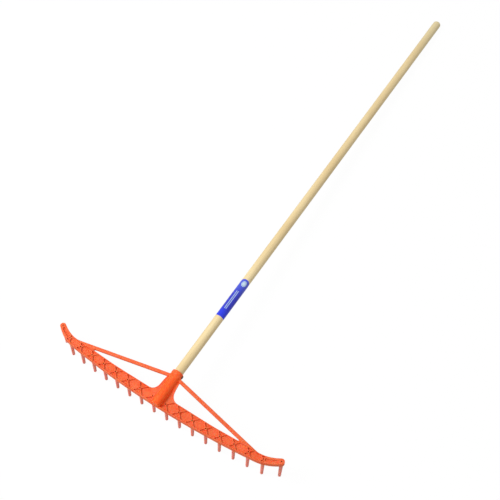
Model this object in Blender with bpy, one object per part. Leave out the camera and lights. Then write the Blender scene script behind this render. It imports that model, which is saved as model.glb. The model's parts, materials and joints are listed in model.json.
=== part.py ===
"""Garden rake: a one-piece moulded head on a round wooden handle.

The head is modelled in its own frame: +X runs along the rail, +Y runs from the rail towards the
handle, and z = 0 is the rail's top face, with the tines pointing down. Lengths along the handle
count from the socket's mouth, positive towards the hand. At the end everything is laid on the
ground, on the tips of the two outer tines and the free end of the handle.
"""
import math

import bmesh
import bpy
from mathutils import Matrix, Vector

MM = 0.001

# Fits between separate pieces
SEAT_GAP = 0.3 * MM
BORE_CLEARANCE = 0.3 * MM

# Tines
TINE_COUNT = 18
TINE_PITCH = 41.0 * MM
TINE_REACH = 88.0 * MM
TINE_ROOT_RADIUS = 5.2 * MM
TINE_TIP_RADIUS = 4.1 * MM
TINE_FLARE = 2.2 * MM
TINE_SINK = 0.2 * MM
TINE_SIDES = 12
CORE_HOLE_RADIUS = 1.8 * MM
CORE_HOLE_DEPTH = 13.0 * MM

# Rail section
RAIL_DEPTH = 13.0 * MM
RAIL_CHAMFER = 0.6 * MM
RIM_THICKNESS = 2.2 * MM
RIB_THICKNESS = 2.0 * MM
BOSS_RADIUS = 4.0 * MM
POCKET_DEPTH = 4.0 * MM
FLOOR_THICKNESS = 2.8 * MM
POCKET_CORNER = 1.4 * MM

# Rail outline, seen from above
REAR_EDGE_Y = 17.0 * MM
FRONT_EDGE_Y = -16.5 * MM
FRONT_EDGE_RADIUS = 2420.0 * MM
END_ARM_LENGTH = 61.5 * MM
END_BEND_LENGTH = 42.0 * MM
END_BEND_RADIUS = 86.0 * MM
TIP_HALF_WIDTH = 8.0 * MM
SHOULDER_LENGTH = 150.0 * MM
SHOULDER_RISE = 5.2 * MM
END_SLOT_HALF_WIDTH = 3.4 * MM
SOLID_MIDDLE_HALF_WIDTH = 14.0 * MM

# Handle
HANDLE_RADIUS = 12.5 * MM
HANDLE_LENGTH = 1480.0 * MM
HANDLE_END_ROUNDING = 8.0 * MM
HANDLE_CROWN = 0.6 * MM
FOOT_LENGTH = 92.0 * MM
FOOT_END_RADIUS = 9.2 * MM
FOOT_CHAMFER = 1.2 * MM
HANDLE_SIDES = 36

# Socket
SOCKET_TILT = math.radians(7.43)
MOUTH_Y = 84.7 * MM
MOUTH_Z = 16.2 * MM
SOCKET_WALL = 2.6 * MM
COLLAR_WALL = 3.7 * MM
COLLAR_LENGTH = 12.0 * MM
COLLAR_STEP_LENGTH = 3.0 * MM
COLLAR_ROUNDING = 2.0 * MM
MOUTH_CHAMFER = 1.0 * MM
NOSE_WALL = 11.0 * MM
NOSE_ROUNDING = 5.0 * MM
SOCKET_SIDES = 40

# Gusset web between the socket and the rail
WEB_THICKNESS = 3.0 * MM
WEB_LIP_HEIGHT = 1.5 * MM
WEB_LIP_WIDTH = 2.2 * MM
WEB_FILLET_RADIUS = 22.2 * MM
WEB_TOP_HALF_WIDTH = 18.6 * MM
WEB_FLARE = 0.13
WEB_TOP_FROM_MOUTH = 14.7 * MM
WEB_LEVEL_Y = 48.0 * MM
WEB_START_Y = 8.0 * MM
WEB_SINK = 0.5 * MM

# Stays
STAY_WIDTH = 9.6 * MM
STAY_HEIGHT = 7.0 * MM
STAY_CHAMFER = 1.3 * MM
STAY_ROOT_FROM_MOUTH = 15.6 * MM
STAY_CROTCH_GAP = 5.1 * MM
STAY_CROTCH_RADIUS = 2.4 * MM
STAY_END_INSET = 60.5 * MM
STAY_END_SINK = 0.8 * MM
STAY_RIM_LAP = 0.7

# Screw through the collar
SCREW_FROM_MOUTH = 5.8 * MM
SCREW_HEAD_RADIUS = 4.4 * MM
SCREW_HEAD_HEIGHT = 2.4 * MM
SCREW_HEAD_RIM_SHARE = 0.35
SCREW_SHANK_RADIUS = 2.0 * MM
SCREW_LENGTH = 18.0 * MM
SCREW_POINT_LENGTH = 4.0 * MM
SCREW_SEAT_RADIUS = 4.8 * MM
SCREW_SEAT_DEPTH = 0.8 * MM
SCREW_SIDES = 20

# Label
LABEL_START = 189.5 * MM
LABEL_LENGTH = 131.5 * MM
LABEL_WIDTH = 50.0 * MM
LABEL_THICKNESS = 0.3 * MM
LABEL_CENTRE_ANGLE = math.radians(12.0)
LABEL_CORNER_RADIUS = 6.0 * MM
LABEL_EDGE_SHARE = 0.985
LABEL_COLUMNS = 24

# Values that follow from the ones above
TIP_X = (TINE_COUNT - 1) / 2 * TINE_PITCH
BEND_START_X = TIP_X - END_ARM_LENGTH
SHOULDER_START_X = BEND_START_X - SHOULDER_LENGTH
RIB_SHIFT = RIB_THICKNESS / 2 * math.sqrt(2)
ROOF = -POCKET_DEPTH - FLOOR_THICKNESS
COLLAR_RADIUS = HANDLE_RADIUS + BORE_CLEARANCE + COLLAR_WALL
NOSE_END = FOOT_LENGTH + NOSE_WALL
WEB_TOP_Y = MOUTH_Y - WEB_TOP_FROM_MOUTH
OVERSHOOT = 5.0 * MM


# General modelling helpers

def clear_scene():
    """Remove every object that the scene starts with."""
    for item in list(bpy.data.objects):
        bpy.data.objects.remove(item, do_unlink=True)


def smooth_step(value):
    """Ease from 0 to 1 with level ends."""
    t = min(max(value, 0.0), 1.0)
    return t * t * (3 - 2 * t)


def mix(start, end, share):
    """Straight-line mix of two values."""
    return start + (end - start) * share


def arc(radius, start, end, steps):
    """Points of a circle arc round the origin, angles in radians."""
    return [
        (radius * math.cos(mix(start, end, i / steps)), radius * math.sin(mix(start, end, i / steps)))
        for i in range(steps + 1)
    ]


def chamfered(low, high, bottom, top, chamfer):
    """Eight corners of a rectangle whose own corners are taken off."""
    cut = min(chamfer, (high - low) / 3)
    return [
        (low + cut, bottom), (high - cut, bottom), (high, bottom + cut), (high, top - cut),
        (high - cut, top), (low + cut, top), (low, top - cut), (low, bottom + cut),
    ]


def loft(rings):
    """Closed solid through rings of equal point count, with flat end caps."""
    shape = bmesh.new()
    loops = [[shape.verts.new(point) for point in ring] for ring in rings]
    count = len(loops[0])
    for low, high in zip(loops, loops[1:]):
        for i in range(count):
            j = (i + 1) % count
            shape.faces.new((low[i], low[j], high[j], high[i]))
    shape.faces.new(list(reversed(loops[0])))
    shape.faces.new(loops[-1])
    bmesh.ops.recalc_face_normals(shape, faces=shape.faces)
    return shape


def prism(outline, low, high):
    """Upright solid over a flat outline, from height low to height high."""
    return loft([[(x, y, level) for x, y in outline] for level in (low, high)])


def revolve(profile, sides):
    """Turned solid round Z; the profile's first and last points lie on the axis."""
    shape = bmesh.new()
    top = shape.verts.new((0.0, 0.0, profile[0][1]))
    bottom = shape.verts.new((0.0, 0.0, profile[-1][1]))
    rings = []
    for radius, height in profile[1:-1]:
        turn = [2 * math.pi * i / sides for i in range(sides)]
        rings.append([shape.verts.new((radius * math.cos(a), radius * math.sin(a), height)) for a in turn])
    for i in range(sides):
        j = (i + 1) % sides
        shape.faces.new((top, rings[0][i], rings[0][j]))
        shape.faces.new((bottom, rings[-1][j], rings[-1][i]))
        for upper, lower in zip(rings, rings[1:]):
            shape.faces.new((upper[i], lower[i], lower[j], upper[j]))
    bmesh.ops.recalc_face_normals(shape, faces=shape.faces)
    return shape


def to_object(shape, name, place=None):
    """Turn a bmesh into a named object, moved by an optional matrix."""
    if place is not None:
        shape.transform(place)
    mesh = bpy.data.meshes.new(name)
    shape.to_mesh(mesh)
    shape.free()
    item = bpy.data.objects.new(name, mesh)
    bpy.context.collection.objects.link(item)
    return item


def gather(shapes, name):
    """One object from several solids that don't touch each other."""
    whole = bmesh.new()
    for shape in shapes:
        part = bpy.data.meshes.new("part")
        shape.to_mesh(part)
        shape.free()
        whole.from_mesh(part)
        bpy.data.meshes.remove(part)
    return to_object(whole, name)


def apply_boolean(body, tool, operation):
    """Join or cut the body with the tool and use the tool up."""
    step = body.modifiers.new(operation.lower(), "BOOLEAN")
    step.operation = operation
    step.object = tool
    step.solver = "EXACT"
    graph = bpy.context.evaluated_depsgraph_get()
    result = bpy.data.meshes.new_from_object(body.evaluated_get(graph))
    body.modifiers.clear()
    old = body.data
    body.data = result
    bpy.data.meshes.remove(old)
    bpy.data.objects.remove(tool, do_unlink=True)


def finish(item, material, frame, sharp_angle=32.0):
    """Smooth the round faces, give the material and hang the piece on its frame."""
    item.data.shade_smooth()
    item.data.set_sharp_from_angle(angle=math.radians(sharp_angle))
    item.data.materials.clear()
    item.data.materials.append(material)
    item.parent = frame
    return item


# Materials

def plain_material(name, color, roughness, metallic=0.0):
    """Principled material with one colour, given in linear light."""
    material = bpy.data.materials.new(name)
    material.use_nodes = True
    surface = material.node_tree.nodes["Principled BSDF"]
    surface.inputs["Base Color"].default_value = (*color, 1.0)
    surface.inputs["Roughness"].default_value = roughness
    surface.inputs["Metallic"].default_value = metallic
    return material


def red_plastic():
    """Orange-red moulded plastic of the head."""
    return plain_material("red_plastic", (0.90, 0.11, 0.025), 0.42)


def pale_wood():
    """Clear-finished pale wood of the handle."""
    return plain_material("pale_wood", (0.78, 0.58, 0.33), 0.5)


def dark_steel():
    """Dark finish of the screw."""
    return plain_material("dark_steel", (0.05, 0.04, 0.035), 0.4, 1.0)


def blue_film():
    """Printed blue film of the label."""
    return plain_material("blue_film", (0.04, 0.06, 0.68), 0.35)


# Rail outline

def front_edge(distance):
    """Front edge of the rail's main part: one shallow bow."""
    sagitta = FRONT_EDGE_RADIUS - math.sqrt(FRONT_EDGE_RADIUS ** 2 - distance ** 2)
    return FRONT_EDGE_Y + sagitta


def rear_edge(distance):
    """Rear edge of the rail's main part: straight, then a low rise where the stay lands."""
    return REAR_EDGE_Y + SHOULDER_RISE * smooth_step((distance - SHOULDER_START_X) / SHOULDER_LENGTH)


def spine(u):
    """Middle line of the rail, with an end arm that bends back towards the handle."""
    distance = abs(u)
    base = min(distance, BEND_START_X)
    middle = (front_edge(base) + rear_edge(base)) / 2
    past = distance - base
    if past == 0.0:
        return middle
    start_slope = BEND_START_X / FRONT_EDGE_RADIUS / 2
    bent = min(past, END_BEND_LENGTH)
    bend = bent ** 2 / 2 / END_BEND_RADIUS + (past - bent) * bent / END_BEND_RADIUS
    return middle + start_slope * past + bend


def half_width(u):
    """Half of the rail's width, square to its middle line."""
    distance = abs(u)
    base = min(distance, BEND_START_X)
    main = (rear_edge(base) - front_edge(base)) / 2
    return mix(main, TIP_HALF_WIDTH, (distance - base) / END_ARM_LENGTH)


def rail_normal(u):
    """Unit vector square to the rail's middle line, towards the handle."""
    step = 0.1 * MM
    slope = (spine(u + step) - spine(u - step)) / (2 * step)
    return Vector((-slope, 1.0)).normalized()


def rail_point(u, v):
    """Place on the rail: u along its middle line, v square to it and towards the handle."""
    normal = rail_normal(u)
    return u + normal.x * v, spine(u) + normal.y * v


def rail_stations(shift, start, end):
    """Distances from the middle, a quarter pitch apart, that miss the corners of the tines."""
    step = TINE_PITCH / 4
    count = math.ceil(TIP_X / step)
    places = [(i + shift) * step for i in range(count)]
    return [start] + [u for u in places if start + MM < u < end - MM] + [end]


def half_rail_sections():
    """Centre, normal and half-width of each section from the middle to the round end."""
    sections = []
    for u in rail_stations(0.5, 0.0, TIP_X):
        sections.append((Vector(rail_point(u, 0.0)), rail_normal(u), half_width(u)))
    centre, normal, radius = sections[-1]
    onwards = Vector((normal.y, -normal.x))
    for turn in (0.35, 0.7, 1.05, 1.3, 1.48):
        sections.append((centre + onwards * radius * math.sin(turn), normal, radius * math.cos(turn)))
    return sections


# Rail solid

def tine_places():
    """Distances of the tines along the rail."""
    return [(i - (TINE_COUNT - 1) / 2) * TINE_PITCH for i in range(TINE_COUNT)]


def rail_body():
    """Plain bar of the rail with small chamfers and round ends."""
    right = half_rail_sections()
    left = [(Vector((-c.x, c.y)), Vector((-n.x, n.y)), half) for c, n, half in reversed(right[1:])]
    rings = []
    for centre, normal, half in left + right:
        corners = chamfered(-half, half, -RAIL_DEPTH, 0.0, RAIL_CHAMFER)
        rings.append([(centre.x + normal.x * v, centre.y + normal.y * v, z) for v, z in corners])
    return to_object(loft(rings), "rake_head")


def inner_half_width(u):
    """Half of the width between the two rims."""
    return half_width(u) - RIM_THICKNESS


def rib_meets_rim(crossing, direction, shift):
    """Where a rib's side, at 45 degrees from a crossing, meets the rim."""
    u = crossing
    for _ in range(12):
        u = crossing + direction * (inner_half_width(u) + shift)
    return u, inner_half_width(u)


def cut_corner(before, corner, after):
    """Two points that take a sharp corner off."""
    corner = Vector(corner)
    ways = [(Vector(other) - corner).normalized() for other in (before, after)]
    return [tuple(corner + way * POCKET_CORNER) for way in ways]


def boss_arc(crossing, shift, facing):
    """Hollow of a pocket round the boss over a tine, between the sides of two ribs."""
    along = (shift + math.sqrt(2 * BOSS_RADIUS ** 2 - shift ** 2)) / 2
    spread = math.atan2(along - shift, along)
    turn = arc(BOSS_RADIUS, facing - spread, facing + spread, 4)
    return [(crossing + x, y) for x, y in turn]


def bay_pocket(left, right):
    """Six-sided pocket between two neighbouring crossings, in rail coordinates."""
    near = boss_arc(left, RIB_SHIFT, 0.0)
    far = boss_arc(right, RIB_SHIFT, math.pi)
    left_corner = rib_meets_rim(left, 1, RIB_SHIFT)
    right_corner = rib_meets_rim(right, -1, RIB_SHIFT)
    low_left = (left_corner[0], -left_corner[1])
    low_right = (right_corner[0], -right_corner[1])
    return (
        cut_corner(near[0], low_left, low_right)
        + cut_corner(low_left, low_right, far[-1])
        + list(reversed(far))
        + cut_corner(far[0], right_corner, left_corner)
        + cut_corner(right_corner, left_corner, near[-1])
        + list(reversed(near))
    )


def rim_pocket(crossing, side):
    """Three-sided pocket between two ribs and one rim, in rail coordinates."""
    apex = boss_arc(0.0, RIB_SHIFT, 0.0)
    apex = [(crossing - y, x) for x, y in apex]
    right_corner = rib_meets_rim(crossing, 1, -RIB_SHIFT)
    left_corner = rib_meets_rim(crossing, -1, -RIB_SHIFT)
    outline = (
        cut_corner(apex[0], right_corner, left_corner)
        + cut_corner(right_corner, left_corner, apex[-1])
        + list(reversed(apex))
    )
    return [(u, side * v) for u, v in outline]


def end_slot(crossing, side):
    """Long pocket between the last crossing and the end tine, in rail coordinates."""
    near = boss_arc(0.0, RIB_SHIFT, 0.0)
    start = END_SLOT_HALF_WIDTH + RIB_SHIFT
    finish_at = TINE_PITCH - BOSS_RADIUS - RIB_THICKNESS
    steps = [mix(start, finish_at - END_SLOT_HALF_WIDTH, i / 4) for i in range(5)]
    lower = [(u, -END_SLOT_HALF_WIDTH) for u in steps]
    nose = arc(END_SLOT_HALF_WIDTH, -math.pi / 2, math.pi / 2, 4)[1:-1]
    nose = [(steps[-1] + x, y) for x, y in nose]
    upper = [(u, -v) for u, v in reversed(lower)]
    outline = lower + nose + upper + list(reversed(near))
    return [(crossing + side * u, v) for u, v in outline]


def covered_by_gusset(crossing):
    """True for the two crossings beside the socket."""
    return abs(crossing) < TINE_PITCH


def pocket_outlines():
    """Every pocket between the ribs, in rail coordinates."""
    crossings = tine_places()[1:-1]
    outlines = []
    for left, right in zip(crossings, crossings[1:]):
        if left * right > 0:
            outlines.append(bay_pocket(left, right))
    for crossing in crossings:
        outlines.append(rim_pocket(crossing, -1))
        if not covered_by_gusset(crossing):
            outlines.append(rim_pocket(crossing, 1))
    outlines.append(end_slot(crossings[-1], 1))
    outlines.append(end_slot(crossings[0], -1))
    return outlines


def pockets():
    """Cutter for the pockets that leave the rims, ribs and bosses standing."""
    shapes = []
    for outline in pocket_outlines():
        shapes.append(prism([rail_point(u, v) for u, v in outline], -POCKET_DEPTH, OVERSHOOT))
    return gather(shapes, "pockets")


def channel(side):
    """Shallow channel under half of the rail, between its two skirts."""
    outer = TIP_X - TINE_ROOT_RADIUS - TINE_FLARE - RIM_THICKNESS
    low = -RAIL_DEPTH - OVERSHOOT
    rings = []
    for u in rail_stations(0.25, SOLID_MIDDLE_HALF_WIDTH, outer):
        reach = inner_half_width(u)
        ring = []
        for v, z in ((-reach, low), (reach, low), (reach, ROOF), (-reach, ROOF)):
            x, y = rail_point(u, v)
            ring.append((side * x, y, z))
        rings.append(ring)
    return loft(rings)


def tine():
    """One tine, from inside the rail's floor to its round tip, with a flared root."""
    flare_top = ROOF + TINE_SINK
    flare = [
        (TINE_ROOT_RADIUS + TINE_FLARE - x, flare_top + y - TINE_FLARE)
        for x, y in arc(TINE_FLARE, math.pi / 2, 0.0, 3)
    ]
    tip_centre = TINE_TIP_RADIUS - TINE_REACH
    tip = [(x, tip_centre + y) for x, y in arc(TINE_TIP_RADIUS, 0.0, -math.pi / 2, 3)]
    start = (TINE_ROOT_RADIUS + TINE_FLARE, ROOF + FLOOR_THICKNESS / 2)
    profile = [(0.0, start[1]), start] + flare + tip[:-1] + [(0.0, -TINE_REACH)]
    return revolve(profile, TINE_SIDES)


def tines():
    """All tines, upright on the rail's middle line."""
    shapes = []
    for place in tine_places():
        shape = tine()
        x, y = rail_point(place, 0.0)
        shape.transform(Matrix.Translation((x, y, 0.0)))
        shapes.append(shape)
    return gather(shapes, "tines")


def core_holes():
    """Cutter for the blind hole down the middle of each boss."""
    shapes = []
    for place in tine_places():
        x, y = rail_point(place, 0.0)
        low = (CORE_HOLE_RADIUS, -CORE_HOLE_DEPTH)
        high = (CORE_HOLE_RADIUS, OVERSHOOT)
        shape = revolve([(0.0, OVERSHOOT), high, low, (0.0, -CORE_HOLE_DEPTH)], TINE_SIDES)
        shape.transform(Matrix.Translation((x, y, 0.0)))
        shapes.append(shape)
    return gather(shapes, "core_holes")


# Socket, gusset web and stays

def axis_matrix():
    """Frame of the socket and the handle: local Z along them, origin at the mouth."""
    turn = Matrix.Rotation(SOCKET_TILT - math.pi / 2, 4, "X")
    return Matrix.Translation((0.0, MOUTH_Y, MOUTH_Z)) @ turn


def axis_height(y):
    """Height of the socket's axis over a place on Y."""
    return MOUTH_Z + (y - MOUTH_Y) * math.tan(SOCKET_TILT)


def foot_radius(along):
    """Radius of the handle's tapered foot; along is 0 at the mouth and negative inside."""
    return mix(HANDLE_RADIUS, FOOT_END_RADIUS, -along / FOOT_LENGTH)


def socket_radius(along):
    """Outer radius of the socket's tube below the collar."""
    return foot_radius(along) + BORE_CLEARANCE + SOCKET_WALL


def socket_tube():
    """Outside of the socket: collar, tapered tube and closed nose."""
    collar_round = [
        (COLLAR_RADIUS - COLLAR_ROUNDING + x, y - COLLAR_ROUNDING)
        for x, y in arc(COLLAR_ROUNDING, math.pi / 2, 0.0, 3)
    ]
    neck = -COLLAR_LENGTH - COLLAR_STEP_LENGTH
    nose_start = NOSE_ROUNDING - NOSE_END
    nose_radius = socket_radius(-FOOT_LENGTH)
    nose_round = [
        (nose_radius - NOSE_ROUNDING + x, nose_start + y)
        for x, y in arc(NOSE_ROUNDING, 0.0, -math.pi / 2, 4)
    ]
    profile = [(0.0, 0.0)] + collar_round + [(COLLAR_RADIUS, -COLLAR_LENGTH), (socket_radius(neck), neck)]
    profile += nose_round + [(0.0, -NOSE_END)]
    return to_object(revolve(profile, SOCKET_SIDES), "socket_tube", axis_matrix())


def socket_bore():
    """Cutter for the tapered bore that the handle's foot fits."""
    mouth = foot_radius(0.0) + BORE_CLEARANCE
    depth = FOOT_LENGTH + SEAT_GAP
    profile = [
        (0.0, OVERSHOOT),
        (mouth + MOUTH_CHAMFER + OVERSHOOT, OVERSHOOT),
        (mouth, -MOUTH_CHAMFER),
        (foot_radius(-FOOT_LENGTH) + BORE_CLEARANCE, -depth),
        (0.0, -depth),
    ]
    return to_object(revolve(profile, SOCKET_SIDES), "socket_bore", axis_matrix())


def web_edge(y, inset):
    """Half-width of the gusset web at a place on Y, drawn in by an inset."""
    lean = math.sqrt(1 + WEB_FLARE ** 2)
    centre_y = REAR_EDGE_Y + WEB_FILLET_RADIUS
    side_at_centre = WEB_TOP_HALF_WIDTH + (WEB_TOP_Y - centre_y) * WEB_FLARE
    centre_x = side_at_centre + WEB_FILLET_RADIUS * lean
    radius = WEB_FILLET_RADIUS + inset
    touch_y = centre_y - radius * WEB_FLARE / lean
    if y >= touch_y:
        return WEB_TOP_HALF_WIDTH + (WEB_TOP_Y - y) * WEB_FLARE - inset * lean
    drop = min(centre_y - y, radius)
    return centre_x - math.sqrt(radius ** 2 - drop ** 2)


def web_level(y):
    """Height of the gusset web's upper surface: flush on the rail, then up to the socket's axis."""
    share = smooth_step((y - WEB_START_Y) / (WEB_LEVEL_Y - WEB_START_Y))
    return mix(-WEB_SINK, axis_height(y), share)


def web_section(y, outer, inner):
    """Closed section of the gusset web across X, with a raised lip along each edge."""
    level = web_level(y)
    lip = level + WEB_LIP_HEIGHT * smooth_step((y - REAR_EDGE_Y) / (WEB_FILLET_RADIUS / 2))
    low = level - WEB_THICKNESS
    half = [(outer, low), (outer, lip), (mix(inner, outer, 0.3), lip), (inner, level)]
    right = [(x, y, z) for x, z in half]
    left = [(-x, y, z) for x, z in reversed(half)]
    return right + left


def gusset_web():
    """Web on both sides of the socket, run out into the rail's rear rim by a round fillet."""
    rib_line = TINE_PITCH / 2 - spine(0.0)
    run_out = web_edge(REAR_EDGE_Y, 0.0)
    rings = []
    for y in (WEB_START_Y, REAR_EDGE_Y - RIM_THICKNESS):
        rings.append(web_section(y, rib_line + y, rib_line + y - WEB_LIP_WIDTH))
    rings.append(web_section(REAR_EDGE_Y - WEB_SINK, run_out, run_out - WEB_LIP_WIDTH))
    centre_y = REAR_EDGE_Y + WEB_FILLET_RADIUS
    fillet = [centre_y - WEB_FILLET_RADIUS * math.sin(mix(1.45, 0.13, i / 8)) for i in range(9)]
    side = [mix(fillet[-1], WEB_TOP_Y, i / 3) for i in range(1, 4)]
    for y in fillet + side:
        rings.append(web_section(y, web_edge(y, 0.0), web_edge(y, WEB_LIP_WIDTH)))
    return to_object(loft(rings), "gusset_web")


def stay_middle(distance):
    """Middle of a stay at a distance from the centre: place on Y, then height."""
    start = COLLAR_RADIUS / 2
    end = TIP_X - STAY_END_INSET
    share = (distance - start) / (end - start)
    root_y = MOUTH_Y - STAY_ROOT_FROM_MOUTH
    landing_y = rear_edge(end) - STAY_WIDTH / 2
    landing_z = -STAY_HEIGHT / 2 - STAY_END_SINK
    return mix(root_y, landing_y, share), mix(axis_height(root_y), landing_z, share)


def crotch_distance():
    """Distance from the centre at which the slit between a stay and the rail ends."""
    low = COLLAR_RADIUS
    high = TIP_X - STAY_END_INSET
    for _ in range(30):
        middle = (low + high) / 2
        gap = stay_middle(middle)[0] - STAY_WIDTH / 2 - rear_edge(middle)
        if gap > STAY_CROTCH_GAP:
            low = middle
        else:
            high = middle
    return low


def stay(side):
    """Straight bar from the socket's neck to the shoulder of the rail."""
    crotch = crotch_distance()
    end = TIP_X - STAY_END_INSET
    places = [COLLAR_RADIUS / 2]
    places += [crotch - STAY_CROTCH_RADIUS * share for share in (1.0, 0.5, 0.15)]
    places += [mix(crotch, end, share) for share in (0.01, 0.25, 0.5, 0.75, 1.0)]
    rings = []
    for distance in places:
        middle_y, middle_z = stay_middle(distance)
        outer = middle_y + STAY_WIDTH / 2
        inner = middle_y - STAY_WIDTH / 2
        from_crotch = (crotch - distance) / STAY_CROTCH_RADIUS
        if from_crotch < 0.0:
            inner = rear_edge(distance) - RIM_THICKNESS * STAY_RIM_LAP
        elif from_crotch < 1.0:
            inner -= STAY_CROTCH_RADIUS * (1 - math.sqrt(1 - (1 - from_crotch) ** 2))
        low = middle_z - STAY_HEIGHT / 2
        section = chamfered(inner, outer, low, low + STAY_HEIGHT, STAY_CHAMFER)
        rings.append([(side * distance, y, z) for y, z in section])
    return to_object(loft(rings), "stay")


# Screw and label

def screw_matrix():
    """Frame of the screw: local Z points out of the collar along +X, origin under its head."""
    along = Vector((0.0, math.cos(SOCKET_TILT), math.sin(SOCKET_TILT)))
    place = Vector((0.0, MOUTH_Y, MOUTH_Z)) - along * SCREW_FROM_MOUTH
    place.x = COLLAR_RADIUS - SCREW_SEAT_DEPTH
    return Matrix.Translation(place) @ Matrix.Rotation(math.pi / 2, 4, "Y")


def screw_hole():
    """Cutter for the screw: a flat seat under its head, then a hole into the handle."""
    radius = SCREW_SHANK_RADIUS + BORE_CLEARANCE
    depth = -SCREW_LENGTH - SEAT_GAP
    profile = [(0.0, OVERSHOOT), (SCREW_SEAT_RADIUS, OVERSHOOT), (SCREW_SEAT_RADIUS, 0.0)]
    profile += [(radius, 0.0), (radius, depth), (0.0, depth)]
    return to_object(revolve(profile, SCREW_SIDES), "screw_hole", screw_matrix())


def make_screw(frame):
    """Round-headed screw that holds the handle in the socket."""
    dome = [(math.sin(turn), math.cos(turn)) for turn in (0.0, 0.5, 1.0, 1.4, math.pi / 2)]
    profile = [
        (SCREW_HEAD_RADIUS * across, SEAT_GAP + SCREW_HEAD_HEIGHT * mix(SCREW_HEAD_RIM_SHARE, 1.0, up))
        for across, up in dome
    ]
    profile += [(SCREW_HEAD_RADIUS, SEAT_GAP), (SCREW_SHANK_RADIUS, SEAT_GAP)]
    profile += [(SCREW_SHANK_RADIUS, SCREW_POINT_LENGTH - SCREW_LENGTH), (0.0, -SCREW_LENGTH)]
    screw = to_object(revolve(profile, SCREW_SIDES), "socket_screw", screw_matrix())
    return finish(screw, dark_steel(), frame)


def make_handle(frame):
    """Round wooden handle with a domed free end and a tapered foot in the socket."""
    dome = [
        (HANDLE_RADIUS - HANDLE_END_ROUNDING + x, HANDLE_LENGTH - HANDLE_END_ROUNDING + y)
        for x, y in arc(HANDLE_END_ROUNDING, math.pi / 2, 0.0, 5)
    ]
    crown = (0.0, HANDLE_LENGTH + HANDLE_CROWN)
    shaft = [(HANDLE_RADIUS, HANDLE_LENGTH * share) for share in (0.8, 0.6, 0.4, 0.2)]
    foot = [
        (foot_radius(0.0), 0.0),
        (foot_radius(-FOOT_LENGTH), FOOT_CHAMFER - FOOT_LENGTH),
        (foot_radius(-FOOT_LENGTH) - FOOT_CHAMFER, -FOOT_LENGTH),
        (0.0, -FOOT_LENGTH),
    ]
    profile = [crown] + dome + shaft + foot
    handle = to_object(revolve(profile, HANDLE_SIDES), "handle", axis_matrix())
    apply_boolean(handle, screw_hole(), "DIFFERENCE")
    return finish(handle, pale_wood(), frame)


def label_ends(across):
    """Lower and upper end of the label at a distance from its middle line."""
    half = LABEL_WIDTH / 2
    arch = half - math.sqrt(max(half ** 2 - across ** 2, 0.0))
    past = max(abs(across) - (half - LABEL_CORNER_RADIUS), 0.0)
    corner = LABEL_CORNER_RADIUS - math.sqrt(max(LABEL_CORNER_RADIUS ** 2 - past ** 2, 0.0))
    return LABEL_START + corner, LABEL_START + LABEL_LENGTH - arch


def make_label(frame):
    """Film wrapped round the upper side of the handle, with an arched upper end."""
    inner = HANDLE_RADIUS + SEAT_GAP
    outer = inner + LABEL_THICKNESS
    rings = []
    for i in range(LABEL_COLUMNS + 1):
        across = -LABEL_WIDTH / 2 * LABEL_EDGE_SHARE * math.cos(math.pi * i / LABEL_COLUMNS)
        low, high = label_ends(across)
        angle = LABEL_CENTRE_ANGLE + across / HANDLE_RADIUS
        ring = []
        for radius, along in ((inner, low), (outer, low), (outer, high), (inner, high)):
            ring.append((radius * math.sin(angle), -radius * math.cos(angle), along))
        rings.append(ring)
    label = to_object(loft(rings), "label", axis_matrix())
    return finish(label, blue_film(), frame)


def make_head(frame):
    """The moulded head: ribbed rail, tines, socket, gusset web and stays in one solid."""
    head = rail_body()
    apply_boolean(head, pockets(), "DIFFERENCE")
    apply_boolean(head, gather([channel(1), channel(-1)], "channels"), "DIFFERENCE")
    for addition in (tines(), gusset_web(), stay(1), stay(-1), socket_tube()):
        apply_boolean(head, addition, "UNION")
    for cutter in (socket_bore(), screw_hole(), core_holes()):
        apply_boolean(head, cutter, "DIFFERENCE")
    return finish(head, red_plastic(), frame)


# Lying on the ground

def lying_tilt():
    """Angle that brings the outer tines' tips and the handle's free end to one level."""
    tip = Vector((spine(TIP_X), TINE_TIP_RADIUS - TINE_REACH))
    along = Vector((math.cos(SOCKET_TILT), math.sin(SOCKET_TILT)))
    below = Vector((math.sin(SOCKET_TILT), -math.cos(SOCKET_TILT)))
    end = Vector((MOUTH_Y, MOUTH_Z)) + along * (HANDLE_LENGTH - HANDLE_END_ROUNDING)
    end += below * (HANDLE_RADIUS - HANDLE_END_ROUNDING)
    span = end - tip
    radius_difference = HANDLE_END_ROUNDING - TINE_TIP_RADIUS
    return math.atan2(span.y, span.x) - math.asin(radius_difference / span.length)


def lay_on_ground(frame, pieces):
    """Tilt the frame, then set its origin so that the pieces stand centred on the ground."""
    frame.rotation_euler = (-lying_tilt(), 0.0, 0.0)
    bpy.context.view_layer.update()
    corners = [frame.matrix_world @ vertex.co for piece in pieces for vertex in piece.data.vertices]
    lengthways = [corner.y for corner in corners]
    lowest = min(corner.z for corner in corners)
    frame.location = (0.0, -(min(lengthways) + max(lengthways)) / 2, -lowest)
    bpy.context.view_layer.update()


def main():
    """Build the rake and lay it on the ground."""
    clear_scene()
    frame = bpy.data.objects.new("ground_frame", None)
    bpy.context.collection.objects.link(frame)
    pieces = [make_head(frame), make_handle(frame), make_screw(frame), make_label(frame)]
    lay_on_ground(frame, pieces)


main()
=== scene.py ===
"""Garden rake dressed for rendering: one-piece moulded head, wooden handle, screw and film label.

Lengths are in metres. The pieces are modelled in the head's own frame: +X runs along the rail, +Y
runs from the rail towards the handle, z = 0 is the rail's top face and the tines point down.
GROUND then lays that frame on the floor.
"""

import json
import logging
import math
from collections.abc import Iterable, Sequence
from dataclasses import dataclass
from enum import Enum
from typing import ClassVar

import bmesh
import bpy
from mathutils import Matrix, Vector

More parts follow.
